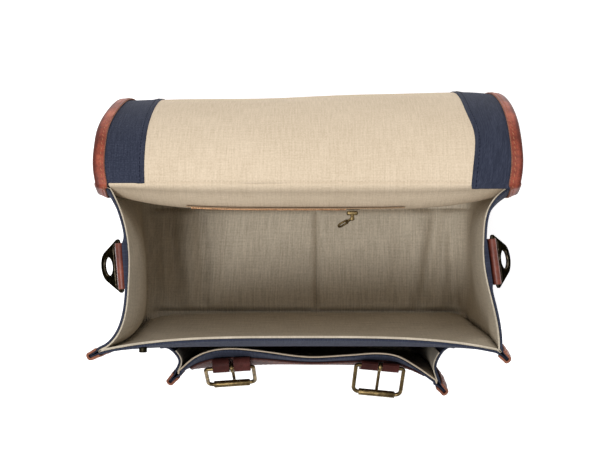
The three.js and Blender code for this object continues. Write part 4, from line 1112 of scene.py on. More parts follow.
# At its right end the facing laps over the hinge, a little way in from the flap's edge
FACING_LAP = (-2, -4.4)
LAP_IN = 7
facing_edge = flap_edge + [FlapEdge(FLAP_HALF_WIDTH - LAP_IN, along, 1.0, 0.0) for along in FACING_LAP]
FACING = 1.4
FACING_STEPS = 9
FACING_ROUND = 1.0
# The facing's inner edge is turned under: how much thicker it is there, and from which share of its width
FACING_TURNED = 0.55
TURNED_FROM = 0.8


def facing_inner(edge):
    """Where the facing's inner edge lies across from a place on the flap's edge."""
    side = math.copysign(1, edge.x)
    if edge.along < corner_start - 4:
        return side * FACING_INNER + facing_bow(side, edge.along), min(edge.along, facing_end)
    half = FACING_INNER - FACING_ROUND
    in_x = side * half + FACING_ROUND * edge.out_x if edge.out_along < 1 else side * min(abs(edge.x), half)
    return in_x, facing_end - FACING_ROUND + FACING_ROUND * edge.out_along


facing_rows, turned_under = [], []
for edge in facing_edge:
    in_x, in_along = facing_inner(edge)
    row = []
    for k in range(FACING_STEPS + 1):
        t = 1 - (1 - k / FACING_STEPS) ** 1.4
        row.append(flap_point(lerp(edge.x, in_x, t), lerp(edge.along, in_along, t)))
        turned_under.append(FACING_TURNED if t > TURNED_FROM else 0.0)
    facing_rows.append(row)
sewn("flap_facing_strip", grid_sheet(facing_rows, flap_outside), -GAP - FACING - np.array(turned_under), -GAP,
     navy_canvas, "navy_canvas", "flap_facing", "laid", "flap_canvas")

FACING_STITCH_IN = 3.0
HINGE_ROW = 1.2
HINGE_ROW_HALF = 126
facing_path, facing_ups, hinge_path, hinge_ups = [], [], [], []
for edge in facing_edge:
    in_x, in_along = facing_inner(edge)
    x = in_x + math.copysign(FACING_STITCH_IN, edge.x) if edge.out_along < 1 else in_x
    along = in_along + (FACING_STITCH_IN if edge.out_along > 0 else 0)
    up = -flap_axes(x, min(along, FLAP_LENGTH))[2]
    facing_path.append(flap_point(x, along) + up * (GAP + FACING + FACING_TURNED))
    facing_ups.append(up)
stitches("facing_stitches", facing_path, facing_ups, navy_thread, "navy_canvas", pitch=3.6, length=2.8)
for k in range(END_STEPS + 1):
    x = lerp(-HINGE_ROW_HALF, HINGE_ROW_HALF, k / END_STEPS)
    up = -flap_axes(x, HINGE_ROW)[2]
    hinge_path.append(flap_point(x, HINGE_ROW) + up * (GAP + LINING + hinge_pucker(x, HINGE_ROW)))
    hinge_ups.append(up)
stitches("hinge_stitches", hinge_path, hinge_ups, beige_thread, "beige_lining", pitch=3.0, length=2.2,
         thick=0.24)


def bend_edge(sign, t):
    """The binding's end, where it runs down on the back wall's bend beside the hinge."""
    x, y, z = bend_row(back_rows[0][:1] if sign < 0 else back_rows[0][-1:], t)[0]
    angle = math.asin(1 - (1 - t) ** 2)
    return (np.array([sign * (FLAP_HALF_WIDTH - WAIST), y, z]), np.array([sign, 0.0, 0.0]),
            np.array([0.0, math.cos(angle), -math.sin(angle)]))


FLAP_BINDING_LEG = 6.6
FLAP_STITCH_SLANT = 0.3
BEND_ENDS = (0.45, 0.6, 0.75, 0.9)
flap_stations = [bend_edge(-1, t) for t in BEND_ENDS]
for edge in flap_edge:
    run, across, canvas_side = flap_axes(edge.x, edge.along)
    way_out = across * edge.out_x + run * edge.out_along
    flap_stations.append((flap_point(edge.x, edge.along), way_out, canvas_side))
flap_stations += [bend_edge(1, t) for t in reversed(BEND_ENDS)]
# Each of the binding's faces: which way it looks, and the room between it and the flap's middle sheet
FLAP_FACES = {"lining_side": (-1, GAP + FACING + GAP), "canvas_side": (1, CANVAS + GAP)}
lining_room, canvas_room = (room for _, room in FLAP_FACES.values())
flap_half = (lining_room + canvas_room) / 2
flap_middle = (canvas_room - lining_room) / 2
flap_profile = fold_profile(-FLAP_BINDING_LEG, GAP, lambda reach: flap_half, BINDING)
flap_profile = [(a, b + flap_middle) for a, b in flap_profile]
folded_strip("flap_edge_binding", tuple(zip(*flap_stations)), flap_profile, "flap_binding")
for face, (sign, face_room) in FLAP_FACES.items():
    stitch_in, stitch_up = STITCH_IN - FLAP_BINDING_LEG, face_room + BINDING
    path = [o + u * stitch_in + v * sign * stitch_up for o, u, v in flap_stations]
    ups = [v * sign for _, _, v in flap_stations]
    stitches(f"flap_{face}_stitches", path, ups, tan_thread, "tan_leather", slant=FLAP_STITCH_SLANT)

# The zip of the pocket in the back lining: a woven tape with two rows of small copper teeth, and an
# antique brass slider with a ring-shaped pull that swings on its pin.
ZIP_Z = 226
ZIP_FROM, ZIP_TO = -98, 78
ZIP_SEAT = 0.28
TAPE_HALF, TAPE_DEPTH = 5.5, 0.8
TAPE_COLUMNS, TAPE_ROWS = 80, 8
SLIDER_X = 36


def zip_face(x):
    return back_y(x, ZIP_Z) - GAP - LINING + ZIP_SEAT


zip_tape_cloth = woven("zip_tape_cloth", (0.20, 0.125, 0.070), (0.29, 0.19, 0.115), (0.38, 0.26, 0.165),
                       0.0008, 1000.0, 0.8, 0.4)
tape_columns = [lerp(ZIP_FROM, ZIP_TO, k / TAPE_COLUMNS) for k in range(TAPE_COLUMNS + 1)]
tape_levels = [ZIP_Z + TAPE_HALF * (1 - 2 * j / TAPE_ROWS) for j in range(TAPE_ROWS + 1)]
tape_sheet = grid_sheet([[(x, zip_face(x), z) for x in tape_columns] for z in tape_levels], FORWARD)
sewn("zip_tape_strip", tape_sheet, 0, TAPE_DEPTH, zip_tape_cloth, "zip_teeth", "zip_tape", "stretched",
     "back_lining")


def metal(name, dark, middle, light, rough, rim=(1, 1, 1, 1)):
    """Antiqued metal: a dark patina in cloudy patches, rubbed brighter in others, with fine scratches."""
    material, shader, place = new_finish(name, {"Metallic": 1.0, "Specular Tint": rim}, "Object")
    cloud = noise(place, 240.0, 4.0, 0.6)
    scratch = noise(place, 900.0, stretch=(1.0, 8.0, 1.0))
    tone = cloud * 0.8 + scratch * 0.2
    feed(shader, base_color=shades(tone, (0.32, dark), (0.5, middle), (0.72, light)),
         roughness=scratch * 0.25 + rough, normal=relief(scratch, 0.15, 0.0002))
    return material


antique_brass = metal("antique_brass", (0.05, 0.034, 0.015), (0.14, 0.098, 0.044), (0.34, 0.25, 0.115), 0.28)
copper_teeth = metal("copper_teeth", (0.24, 0.12, 0.06), (0.46, 0.26, 0.14), (0.62, 0.40, 0.24), 0.3)


def finished(name, skin, degrees=40):
    piece = bpy.context.object
    piece.name = name
    piece.data.name = name
    piece.data.materials.clear()
    piece.data.materials.append(skin)
    smoothed(piece, degrees)
    return piece


def apply_place():
    bpy.ops.object.transform_apply(location=True, rotation=True, scale=True)


def settle(piece, matrix):
    """Puts a piece where its joint is and leaves its place in the mesh."""
    only(piece)
    piece.matrix_world = matrix
    apply_place()
    return piece


def joined(pieces, name):
    only(pieces[0])
    for piece in pieces:
        piece.select_set(True)
    bpy.ops.object.join()
    pieces[0].name = name
    return pieces[0]


def edit(choice):
    """Edit mode on the active piece, with all of it or none of it selected."""
    bpy.ops.object.mode_set(mode="EDIT")
    bpy.ops.mesh.select_all(action=choice)


def edit_only(piece, kind, test):
    """Edit mode on the active piece, with only those of its faces or points selected that pass a test."""
    edit("DESELECT")
    bpy.ops.object.mode_set(mode="OBJECT")
    for part in getattr(piece.data, kind):
        part.select = test(part)
    bpy.ops.object.mode_set(mode="EDIT")


def block(size, place, bevel, segments=2):
    """A bevelled block, sizes in millimetres."""
    bpy.ops.object.select_all(action="DESELECT")
    bpy.ops.mesh.primitive_cube_add(size=1, location=[v * MM for v in place])
    piece = bpy.context.object
    piece.scale = [v * MM for v in size]
    apply_place()
    edit("SELECT")
    bpy.ops.mesh.bevel(offset=bevel * MM, segments=segments, affect="EDGES")
    bpy.ops.object.mode_set(mode="OBJECT")
    return piece


def rod(radius, length, place, axis, bevel=0.2, sides=20):
    """A round rod with its ends broken, along x, y or z."""
    turn = {"x": (0, math.pi / 2, 0), "y": (math.pi / 2, 0, 0), "z": (0, 0, 0)}[axis]
    bpy.ops.object.select_all(action="DESELECT")
    bpy.ops.mesh.primitive_cylinder_add(vertices=sides, radius=radius * MM, depth=length * MM,
                                        location=[v * MM for v in place], rotation=turn)
    piece = bpy.context.object
    apply_place()
    edit_only(piece, "polygons", lambda face: len(face.vertices) == sides)
    bpy.ops.mesh.bevel(offset=bevel * MM, segments=2, affect="EDGES")
    bpy.ops.object.mode_set(mode="OBJECT")
    return piece


def plate(name, outlines, depth, bevel, matrix, skin, degrees=35, edge_skin=None):
    """A flat shape with holes, given depth and bevelled edges, set in place by a matrix."""
    curve = bpy.data.curves.new(name, "CURVE")
    curve.dimensions = "2D"
    curve.fill_mode = "BOTH"
    for outline in outlines:
        spline = curve.splines.new("POLY")
        spline.points.add(len(outline) - 1)
        for point, (x, y) in zip(spline.points, outline):
            point.co = (x * MM, y * MM, 0, 1)
        spline.use_cyclic_u = True
    curve.extrude = (depth / 2 - bevel) * MM
    curve.bevel_depth = bevel * MM
    curve.bevel_resolution = 2
    curve.offset = -bevel * MM
    shape = bpy.data.objects.new(name, curve)
    scene.collection.objects.link(shape)
    only(shape)
    bpy.ops.object.convert(target="MESH")
    piece = bpy.context.object
    edit("SELECT")
    bpy.ops.mesh.remove_doubles(threshold=0.00001)
    bpy.ops.mesh.normals_make_consistent(inside=False)
    bpy.ops.object.mode_set(mode="OBJECT")
    at_edge = [abs(face.normal.z) < 0.95 for face in piece.data.polygons]
    settle(piece, matrix)
    finished(name, skin, degrees)
    if edge_skin:
        piece.data.materials.append(edge_skin)
        piece.data.polygons.foreach_set("material_index", np.array(at_edge, dtype=np.int32))
    return piece


def arc(centre, radius, start, end, steps):
    angles = [math.radians(lerp(start, end, k / steps)) for k in range(steps + 1)]
    return [(centre[0] + radius * math.cos(a), centre[1] + radius * math.sin(a)) for a in angles]


def spot(x, y, z):
    return Matrix.Translation((x * MM, y * MM, z * MM))


def turn_by(degrees, axis):
    return Matrix.Rotation(math.radians(degrees), 4, axis)


TOOTH = (1.05, 1.3, 2.6)
TOOTH_PITCH = 1.9
TOOTH_LIFT = 0.5
TOOTH_ASIDE = 0.9
TEETH_IN = 4
block(TOOTH, (0, 0, 0), 0.25, 1)
tooth_points, tooth_faces = taken()
teeth = []
for n in range(int((SLIDER_X - TEETH_IN - ZIP_FROM - TEETH_IN) / TOOTH_PITCH)):
    x = ZIP_FROM + TEETH_IN + n * TOOTH_PITCH
    y = zip_face(x) - TAPE_DEPTH - TOOTH_LIFT
    for side in (-1, 1):
        place = np.array((x + (side + 1) * TOOTH_PITCH / 4, y, ZIP_Z + side * TOOTH_ASIDE))
        teeth.append(tooth_points + place * MM)
fix(many("zip_teeth_rows", teeth, tooth_faces, copper_teeth), "bag", "zip_teeth")

SLIDER = (9, 3.4, 8.4)
LUG = (3, 4.6, 1.4)
LUG_OUT, LUG_ASIDE = 3.6, 2.8
slider_y = zip_face(SLIDER_X) - 2.2 - GAP - SLIDER[1] / 2
pin_y = slider_y - SLIDER[1] / 2 - 2.6
slider_parts = [block(SLIDER, (SLIDER_X, slider_y, ZIP_Z), 1.1, 3)]
slider_parts += [block(LUG, (SLIDER_X, slider_y - LUG_OUT, ZIP_Z + aside), 0.4)
                 for aside in (LUG_ASIDE, -LUG_ASIDE)]
slider_parts.append(rod(0.8, 6, (SLIDER_X, pin_y, ZIP_Z), "z"))
joined(slider_parts, "zip_slider_body")
fix(finished("zip_slider_body", antique_brass), "bag", "antique_brass", "zip_slider")

PULL_REST = 30
PULL_TILT = 32
PULL_END, PULL_HALF, PULL_NECK, PULL_SLOT, PULL_SLOT_FROM = 10.6, 2.9, 1.3, 1.4, 6.4
EYE, EYE_HOLE, EYE_LENGTH = 1.95, 1.15, 3.4
pull_side = [(1.6, PULL_NECK), (3.6, PULL_NECK), (4.5, 2.5), (5.2, PULL_HALF)]
pull_end = arc((PULL_END, 0), PULL_HALF, -90, 90, 14)
pull_outline = [(a, -b) for a, b in pull_side] + pull_end + pull_side[::-1]
slot_end = arc((PULL_END, 0), PULL_SLOT, -90, 90, 10)
pull_slot = [(PULL_SLOT_FROM, -PULL_SLOT)] + slot_end + [(PULL_SLOT_FROM, PULL_SLOT)]
front_view = Matrix(((1, 0, 0, 0), (0, 0, -1, 0), (0, 1, 0, 0), (0, 0, 0, 1)))
pull_place = spot(SLIDER_X, pin_y, ZIP_Z) @ Matrix.Rotation(math.pi + math.radians(PULL_REST), 4, "Z")
pull_plate = plate("zip_pull_plate", [pull_outline, pull_slot], 1.3, 0.35,
                   pull_place @ turn_by(PULL_TILT, "X") @ front_view, antique_brass)
eye_rings = [arc((0, 0), radius, 0, 342, 19) for radius in (EYE, EYE_HOLE)]
eye_ring = plate("zip_pull_eye", eye_rings, EYE_LENGTH, 0.3, pull_place, antique_brass)
fix(joined([pull_plate, eye_ring], "zip_pull_tag"), "pull", "antique_brass", "zip_pull")

# The front pocket: a canvas front with a lining, bellows-like gusset and leather-bound seam, its mouth
# standing open in a wave, and a band of dark red leather below the rim.
POCKET_TOP = 188
POCKET_BOTTOM = 28
POCKET_HALF_WIDTH = 109
POCKET_RADIUS = 20
POCKET_EASE = 60
POCKET_BODY_Y = -86.5
POCKET_BODY_BOW = 5
POCKET_TILT_AT_RIM = 48
POCKET_TILT_AT_FOOT = 62
POCKET_HEM = 0.3
POCKET_RIM = [(-109, -91.5), (-95, -79.5), (-80, -73.5), (-62, -72), (-40, -74), (0, -79), (35, -77.5),
              (60, -76), (76, -78.5), (92, -87.5), (109, -99.5)]
WALL_CLEAR = 0.5
# Across the gusset: place, share of the way out to the pocket's seam, and how far beyond the pocket's edge
GUSSET_LINE = [(0, 0.0, 15.0), (1, 0.0, 9.0), (2, 0.2, 2.6), (3, 0.58, -2.0)]
GUSSET_STEPS = 5
GUSSET_ACROSS = len(GUSSET_LINE) * GUSSET_STEPS
down = np.array([0, 0, -1.0])


def pocket_y(x, z):
    rim = row_at(POCKET_RIM, x)[1]
    body = POCKET_BODY_Y - POCKET_BODY_BOW * (x / POCKET_HALF_WIDTH) ** 2
    share = min((POCKET_TOP - z) / POCKET_EASE, 1)
    return lerp(rim, body, 1 - (1 - share) ** 2)


def pocket_tilt(z, out_x, out_z):
    return lerp(POCKET_TILT_AT_RIM, POCKET_TILT_AT_FOOT, -out_z)


pocket_places = u_stations(POCKET_TOP, POCKET_BOTTOM, POCKET_HALF_WIDTH, POCKET_RADIUS,
                           lambda z: POCKET_HALF_WIDTH)
pocket_seam = seam_along(pocket_places, pocket_y, pocket_tilt, FORWARD)
pocket_rows = panel_rows(pocket_seam, pocket_y)
pocket_outside = flanged_sheet(pocket_rows, pocket_seam, FORWARD)
sewn("pocket_face", pocket_outside, 0, panel_canvas(pocket_outside, pocket_rows, pocket_seam), navy_canvas,
     "navy_canvas", "pocket_front", "hung", "pocket_gusset")
pocket_inside = grid_sheet(pocket_rows, FORWARD)
pocket_hem = POCKET_HEM * hem(pocket_inside.points[:, 2], POCKET_TOP)
sewn("pocket_face_lining", pocket_inside, -GAP - LINING - pocket_hem, -GAP, beige_cotton,
     "beige_lining", "pocket_lining_front", "hung", "pocket_face")
seam_binding("pocket_seam_binding", "pocket_binding", pocket_seam)


def pocket_gusset_row(k, whole):
    """Across the pocket's gusset: flat on the bag's front, then round and out to the pocket's seam."""
    point, out, side = pocket_seam.points[k], pocket_seam.out[k], pocket_seam.side[k]
    seam_point = point - side * SEAM_ROOM
    line = GUSSET_LINE + [(len(GUSSET_LINE), 1.0, np.dot(seam_point - point, out))]
    row = []
    for step in range(0 if whole else 2 * GUSSET_STEPS, GUSSET_ACROSS + 1):
        _, across, away = row_at(line, step / GUSSET_STEPS)
        at = point + out * away
        row.append((at[0], lerp(front_y(at[0], at[2]) - CANVAS - WALL_CLEAR, seam_point[1], across), at[2]))
    if whole:
        row += [tuple(on_flange(pocket_seam, k, -1, reach)) for reach in FLANGE_REACH]
    return row


places = range(len(pocket_seam.points))
bellows_outside, bellows_inside = (grid_sheet([pocket_gusset_row(k, whole) for k in places], down)
                                   for whole in (True, False))
bellows_canvas = np.tile([CANVAS] * (GUSSET_ACROSS + 1) + FLANGE_CANVAS, len(places))
sewn("pocket_bellows", bellows_outside, 0, bellows_canvas, navy_canvas, "navy_canvas", "pocket_gusset",
     "folded", "front_wall")
sewn("pocket_bellows_lining", bellows_inside, -GAP - LINING, -GAP, shaded_inner_cotton,
     "beige_lining", "pocket_lining_gusset", "folded", "pocket_bellows")

oxblood_leather = leather("oxblood_leather", (0.026, 0.007, 0.006), (0.056, 0.015, 0.012),
                          (0.105, 0.030, 0.026), 0.5, 0.08)
oxblood_edge = plain_fibre("oxblood_edge", (0.030, 0.010, 0.008), (0.075, 0.026, 0.022), 900.0)
POCKET_BAND = 1.6
BAND_TOP, BAND_BOTTOM, BAND_HALF = 176.8, 135.5, 101
BAND_COLUMNS, BAND_ROWS = 100, 20
BAND_STITCH_IN, BAND_STITCH_END = 3, 2
band_low = CANVAS + GAP
band_face = band_low + POCKET_BAND


def band_columns(half):
    return [lerp(-half, half, i / BAND_COLUMNS) for i in range(BAND_COLUMNS + 1)]


band_levels = [lerp(BAND_TOP, BAND_BOTTOM, j / BAND_ROWS) for j in range(BAND_ROWS + 1)]
band_rows = [[(x, pocket_y(x, z), z) for x in band_columns(BAND_HALF)] for z in band_levels]
band = cloth("pocket_leather_band", grid_sheet(band_rows, FORWARD), band_low, band_face, oxblood_leather,
             oxblood_edge)
fix(band, "bag", "oxblood_leather", "pocket_band")
for edge, z in (("top", BAND_TOP - BAND_STITCH_IN), ("bottom", BAND_BOTTOM + BAND_STITCH_IN)):
    path = [(x, pocket_y(x, z) - band_face * 1.03, z) for x in band_columns(BAND_HALF - BAND_STITCH_END)]
    stitches(f"band_{edge}_stitches", path, [FORWARD] * len(path), tan_thread, "oxblood_leather", thick=0.25)

# Two roller buckles: a dark red leather tab sewn to the pocket and folded round the heel bar, a bent
# brass frame, a roller on its far side and a prong that swings on the heel bar through the tab's slot.
BUCKLE_Z = 182
# Place of the heel bar, its turn in plan, how far the frame hangs below level, and how far it is slid aside
BUCKLES = {"left": (-64.2, -88.0, 3.8, 54.0, -2.0), "right": (61.6, -87.2, -5.5, 27.0, 0.0)}
BUCKLE_TAB_WIDTH = 32
BUCKLE_BAR = 1.7
BUCKLE_HALF_WIDTH = 20.3
BUCKLE_LENGTH = 27
BUCKLE_CORNERS = {"heel": 2.2, "far": 4.6}
ROLLER_LENGTH = 31
ROLLER_RADIUS = 2.9
PRONG_WIDTH = 2.6
PRONG_LENGTH = 30.5
PRONG_RING = 3.9
TAB_LAYERS = 2.8
TAB_LOOP = BUCKLE_BAR + 0.4
TAB_ROUND = TAB_LOOP + 1.5
TAB_FOOT = 155
TAB_STEPS = 10
TAB_CLEAR = 0.8
# The tab's top, from its back to the bar: share of the way back, and share of its height above the bar
TAB_CREST = 4.6
CREST = [(1.0, 0), (0.93, 0.45), (0.78, 0.78), (0.5, 0.98), (0.22, 0.95)]
BAND_EDGE = (177, 181)
SLOT_WIDTH = PRONG_WIDTH + 1.2
SLOT_FROM = 165
SLOT_DEPTH = 60
side_view = Matrix(((0, 0, 1, 0), (1, 0, 0, 0), (0, 1, 0, 0), (0, 0, 0, 1)))


def tab_rest(x, y, turn, z):
    """The tab's middle line on the pocket, measured from the heel bar: over the band, then on the cloth."""
    lean = math.sin(math.radians(turn))
    half = BUCKLE_TAB_WIDTH / 2
    faces = [pocket_y(x + share * half, z) - share * half * lean for share in TAB_SHARES]
    t = clamp((z - BAND_EDGE[0]) / (BAND_EDGE[1] - BAND_EDGE[0]))
    over_band = (POCKET_BAND + GAP) * (1 - t * t * (3 - 2 * t))
    return min(faces) - y - CANVAS - over_band - TAB_CLEAR - TAB_LAYERS / 2


def round_hole(radius, z):
    return [(a, b + z) for a, b in arc((0, 0), radius, 0, 340, 17)]


def buckle_tab(name, x, y, turn):
    """The leather fold round the heel bar, as a side outline given the tab's width, with the prong's slot."""
    half = TAB_LAYERS / 2
    heights = [lerp(TAB_FOOT, BUCKLE_Z - 3, k / TAB_STEPS) for k in range(TAB_STEPS + 1)]
    rest = [tab_rest(x, y, turn, z) for z in heights]
    top = tab_rest(x, y, turn, BUCKLE_Z) + half
    crest = [(top * back, BUCKLE_Z + up * TAB_CREST) for back, up in CREST]
    eye = [(a, b + BUCKLE_Z) for a, b in arc((0, 0), TAB_ROUND, 90, 215 if rest[-1] > 0 else 260, 14)]
    inner = [(r - half, z) for r, z in zip(reversed(rest), reversed(heights)) if z < BUCKLE_Z - 3.2]
    outline = [(r + half, z) for r, z in zip(rest, heights)] + crest + eye + inner
    place = spot(x, y, 0) @ turn_by(turn, "Z")
    tab = plate(name, [outline, round_hole(TAB_LOOP, BUCKLE_Z)], BUCKLE_TAB_WIDTH, 0.5, place @ side_view,
                oxblood_leather, 40)
    slot_top = BUCKLE_Z + 3 * TAB_CREST
    cutter = block((SLOT_WIDTH, SLOT_DEPTH, slot_top - SLOT_FROM), (0, 0, (slot_top + SLOT_FROM) / 2), 0.2, 1)
    settle(cutter, place)
    cut = tab.modifiers.new("slot", "BOOLEAN")
    cut.operation = "DIFFERENCE"
    cut.object = cutter
    bpy.context.view_layer.objects.active = tab
    bpy.ops.object.modifier_apply(modifier=cut.name)
    bpy.data.objects.remove(cutter)
    return tab


def buckle_frame(name, matrix):
    """A round bar bent to a rectangle, from a flat outline with its corners rounded."""
    bpy.ops.object.select_all(action="DESELECT")
    bpy.ops.mesh.primitive_plane_add(size=1, location=(0, BUCKLE_LENGTH / 2 * MM, 0))
    outline = bpy.context.object
    outline.scale = (2 * BUCKLE_HALF_WIDTH * MM, BUCKLE_LENGTH * MM, 1)
    apply_place()
    bpy.ops.object.mode_set(mode="EDIT")
    bpy.ops.mesh.select_mode(type="VERT")
    for end, y in (("heel", 0), ("far", BUCKLE_LENGTH)):
        edit_only(outline, "vertices", lambda vertex: abs(vertex.co.y - y * MM) < 0.5 * MM)
        bpy.ops.mesh.bevel(offset=BUCKLE_CORNERS[end] * MM, offset_type="OFFSET", segments=8,
                           affect="VERTICES")
    bpy.ops.mesh.select_all(action="SELECT")
    bpy.ops.mesh.delete(type="ONLY_FACE")
    bpy.ops.object.mode_set(mode="OBJECT")
    bpy.ops.object.convert(target="CURVE")
    wire = bpy.context.object.data
    wire.dimensions = "3D"
    wire.fill_mode = "FULL"
    wire.bevel_depth = BUCKLE_BAR * MM
    wire.bevel_resolution = 4
    bpy.ops.object.convert(target="MESH")
    settle(bpy.context.object, matrix)
    return finished(name, antique_brass, 60)


def roller(name, matrix):
    """A brass tube on the frame's far side, its ends rolled in."""
    tube = rod(ROLLER_RADIUS, ROLLER_LENGTH, (0, BUCKLE_LENGTH, 0), "x", 0.45, 32)
    edit_only(tube, "polygons", lambda face: abs(face.normal.x) > 0.99)
    bpy.ops.mesh.inset(thickness=0.3 * MM)
    bpy.ops.mesh.extrude_region_shrink_fatten(TRANSFORM_OT_shrink_fatten={"value": -0.5 * MM})
    bpy.ops.object.mode_set(mode="OBJECT")
    settle(tube, matrix)
    return finished(name, antique_brass)


def prong(name, matrix):
    """A pointed tongue that lies on the roller, with a ring round the heel bar."""
    under = ROLLER_RADIUS + GAP
    arm = [(3.2, 2.4), (BUCKLE_LENGTH - 8, under - 0.1), (BUCKLE_LENGTH - 4, under),
           (PRONG_LENGTH - 0.4, under + 0.3), (PRONG_LENGTH, under + 0.8), (PRONG_LENGTH - 0.3, under + 1.4),
           (BUCKLE_LENGTH - 4, under + 2.2), (10, 4.4), (3, PRONG_RING + 0.1)]
    ring = arc((0, 0), PRONG_RING, 78, 395, 28)
    bore = arc((0, 0), BUCKLE_BAR + 0.35, 0, 345, 19)
    return plate(name, [arm + ring, bore], PRONG_WIDTH, 0.55, matrix @ side_view, antique_brass, 40)


for name, (x, y, turn, slope, slid) in BUCKLES.items():
    tab = buckle_tab(f"{name}_buckle_tab", x, y, turn)
    fix(tab, "bag", "oxblood_leather", f"buckle_tab_{name}")
    swung = (spot(x, y, BUCKLE_Z) @ turn_by(turn, "Z")
             @ Matrix.Rotation(math.pi + math.radians(slope), 4, "X"))
    aside = swung @ spot(slid, 0, 0)
    pieces = (("frame", buckle_frame, aside), ("roller", roller, aside), ("prong", prong, swung))
    for piece, make, place in pieces:
        made = make(f"{name}_buckle_{piece}", place)
        fix(made, f"{piece}_{name}", "antique_brass", f"buckle_{piece}_{name}")

# Two strap rings: a triangular bronze plate with a slot and a round eye, hung by its bar in a fold of tan
# leather that is sewn to the middle of each gusset just under the rim.
RING_Z = 236
RING_PLATE = 2.4
RING_BAR = 1.2
RING_LOOP = 1.95
RING_ROUND = RING_LOOP + 1.3
RING_TAB_LAYERS = 2.8
RING_TAB_STEPS = 8
# The plate's corners and tip: place and radius, and the radius of the eye
RING_CORNER_X, RING_CORNER_Y, RING_CORNER = 18.6, 1.8, 3
RING_TIP_Y, RING_TIP, RING_EYE = 19.8, 13, 7.6
RING_SLIT = [(19.2, RING_BAR), (19.2, 4.2), (15.4, 9.2)]
tab_leather = leather("tab_leather", (0.06, 0.013, 0.008), (0.15, 0.034, 0.019), (0.32, 0.085, 0.045),
                      0.34, 0.4)


def ring_tab(name, side, bar, y, turn):
    heights = [lerp(RING_TAB_FOOT, RING_Z - 2, k / RING_TAB_STEPS) for k in range(RING_TAB_STEPS + 1)]
    back = [(ring_seat(side, y, turn, z) - bar, z) for z in heights]
    round_bar = [(a, b + RING_Z) for a, b in arc((0, 0), RING_ROUND, 180, -38, 22)]
    face = [(a + RING_TAB_LAYERS, z) for a, z in reversed(back) if z < RING_Z - 8]
    place = spot(side * bar, y, 0) @ turn_by(turn, "Z")
    outlines = [[(side * a, b) for a, b in outline]
                for outline in (back + round_bar + face, round_hole(RING_LOOP, RING_Z))]
    return plate(name, outlines, RING_TAB_WIDTH, 0.6, place @ front_view, tab_leather, 40), place


def ring_outlines():
    run_x, run_y = -RING_CORNER_X, RING_TIP_Y - RING_CORNER_Y
    lean = math.atan2(run_y, run_x) - math.acos((RING_CORNER - RING_TIP) / math.hypot(run_x, run_y))
    lean = math.degrees(lean)
    outer = (arc((RING_CORNER_X, RING_CORNER_Y), RING_CORNER, -90, lean, 10)
             + arc((0, RING_TIP_Y), RING_TIP, lean, 180 - lean, 26)
             + arc((-RING_CORNER_X, RING_CORNER_Y), RING_CORNER, 180 - lean, 270, 10))
    eye = arc((0, RING_TIP_Y), RING_EYE, 0, 352, 44)
    return [outer, eye, [(-x, y) for x, y in RING_SLIT] + RING_SLIT[::-1]]


dark_bronze = metal("dark_bronze", (0.008, 0.007, 0.004), (0.016, 0.014, 0.008), (0.045, 0.038, 0.024), 0.34,
                    rim=(0.12, 0.10, 0.07, 1))
# The plate's bevelled edges take a much brighter bronze: rubbed wear, and painted highlight standing in for
# the glint along them.
wear_and_glint_bronze = metal("wear_and_glint_bronze", (0.015, 0.012, 0.008), (0.06, 0.05, 0.034), (0.36, 0.31, 0.22), 0.3,
                    rim=(0.3, 0.26, 0.2, 1))
ring_plane = Matrix(((0, 0, -1, 0), (1, 0, 0, 0), (0, -1, 0, 0), (0, 0, 0, 1)))
for name, (side, bar, y, turn, hang) in RINGS.items():
    tab, place = ring_tab(f"{name}_ring_tab", side, bar, y, turn)
    fix(tab, "bag", "tan_leather", f"ring_tab_{name}")
    hung = place @ spot(0, 0, RING_Z) @ Matrix.Rotation(-side * math.radians(hang), 4, "Y")
    ring = plate(f"{name}_strap_ring", ring_outlines(), RING_PLATE, 0.6, hung @ ring_plane, dark_bronze,
                 edge_skin=wear_and_glint_bronze)
    fix(ring, f"ring_{name}", "dark_bronze", f"strap_ring_{name}")

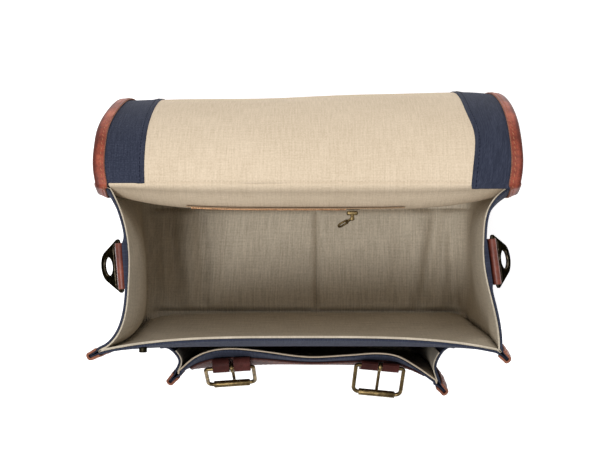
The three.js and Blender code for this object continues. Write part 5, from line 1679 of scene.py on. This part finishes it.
# A small rivet of dark bronze just under the rim at the front wall's left, set through the canvas so
# that only its head stands out.
RIVET_X, RIVET_Z, RIVET_RADIUS, RIVET_HEIGHT, RIVET_SUNK = -131, 245, 3.2, 4.4, 0.4
rivet_y = front_y(RIVET_X, RIVET_Z) - CANVAS - RIVET_HEIGHT / 2 + RIVET_SUNK
rod(RIVET_RADIUS, RIVET_HEIGHT, (RIVET_X, rivet_y, RIVET_Z), "y", 0.5)
fix(finished("front_rivet", dark_bronze), "bag", "dark_bronze")

# Two closing straps of dark red leather on the flap's outer face, in line with the buckles: sewn on above
# the flap's end, loose below it, and lying forward along the ground under the bag.
STRAP_WIDTH = 30
STRAP = 2.8
STRAP_TOP = 90
STRAP_BEND = 17
STRAP_TAIL = 78
STRAP_LIFT = 0.3
STRAP_STEP = 30
SEWN_STEPS = 10
BEND_ARC_STEPS = 14
STRAP_COLUMNS = 4
# Over how many rows the strap's end is rounded, and how far beyond its last row the round would close
END_ROWS = 4
END_OVER = 0.6
flap_face = FLAP_BACK - CANVAS - GAP
strap_back = flap_face - BINDING - GAP
strap_line = [(flap_face, lerp(STRAP_TOP, STRAP_STEP, k / SEWN_STEPS)) for k in range(SEWN_STEPS + 1)]
for k in range(BEND_ARC_STEPS + 1):
    angle = math.pi / 2 * k / BEND_ARC_STEPS
    strap_line.append((strap_back - STRAP_BEND * (1 - math.cos(angle)),
                       STRAP_LIFT + STRAP_BEND * (1 - math.sin(angle))))
strap_line += [(lerp(strap_back - STRAP_BEND, STRAP_TAIL, k / BEND_ARC_STEPS), STRAP_LIFT)
               for k in range(1, BEND_ARC_STEPS + 1)]
for name, (x, *_) in BUCKLES.items():
    rows = []
    for k, (y, z) in enumerate(strap_line):
        left = len(strap_line) - 1 - k
        rounded = 1 - min((left + END_OVER) / (END_ROWS + END_OVER), 1)
        half = STRAP_WIDTH / 2 * math.sqrt(1 - rounded ** 2)
        across = [x + half * (i / STRAP_COLUMNS - 1) for i in range(2 * STRAP_COLUMNS + 1)]
        rows.append([(at, y + flap_skew(at), z) for at in across])
    strap_sheet = grid_sheet(rows, np.array([0, -1.0, 1.0]))
    strap = cloth(f"{name}_closing_strap", strap_sheet, 0, STRAP, oxblood_leather, oxblood_edge)
    fix(strap, "bag", "oxblood_leather", f"closing_strap_{name}")
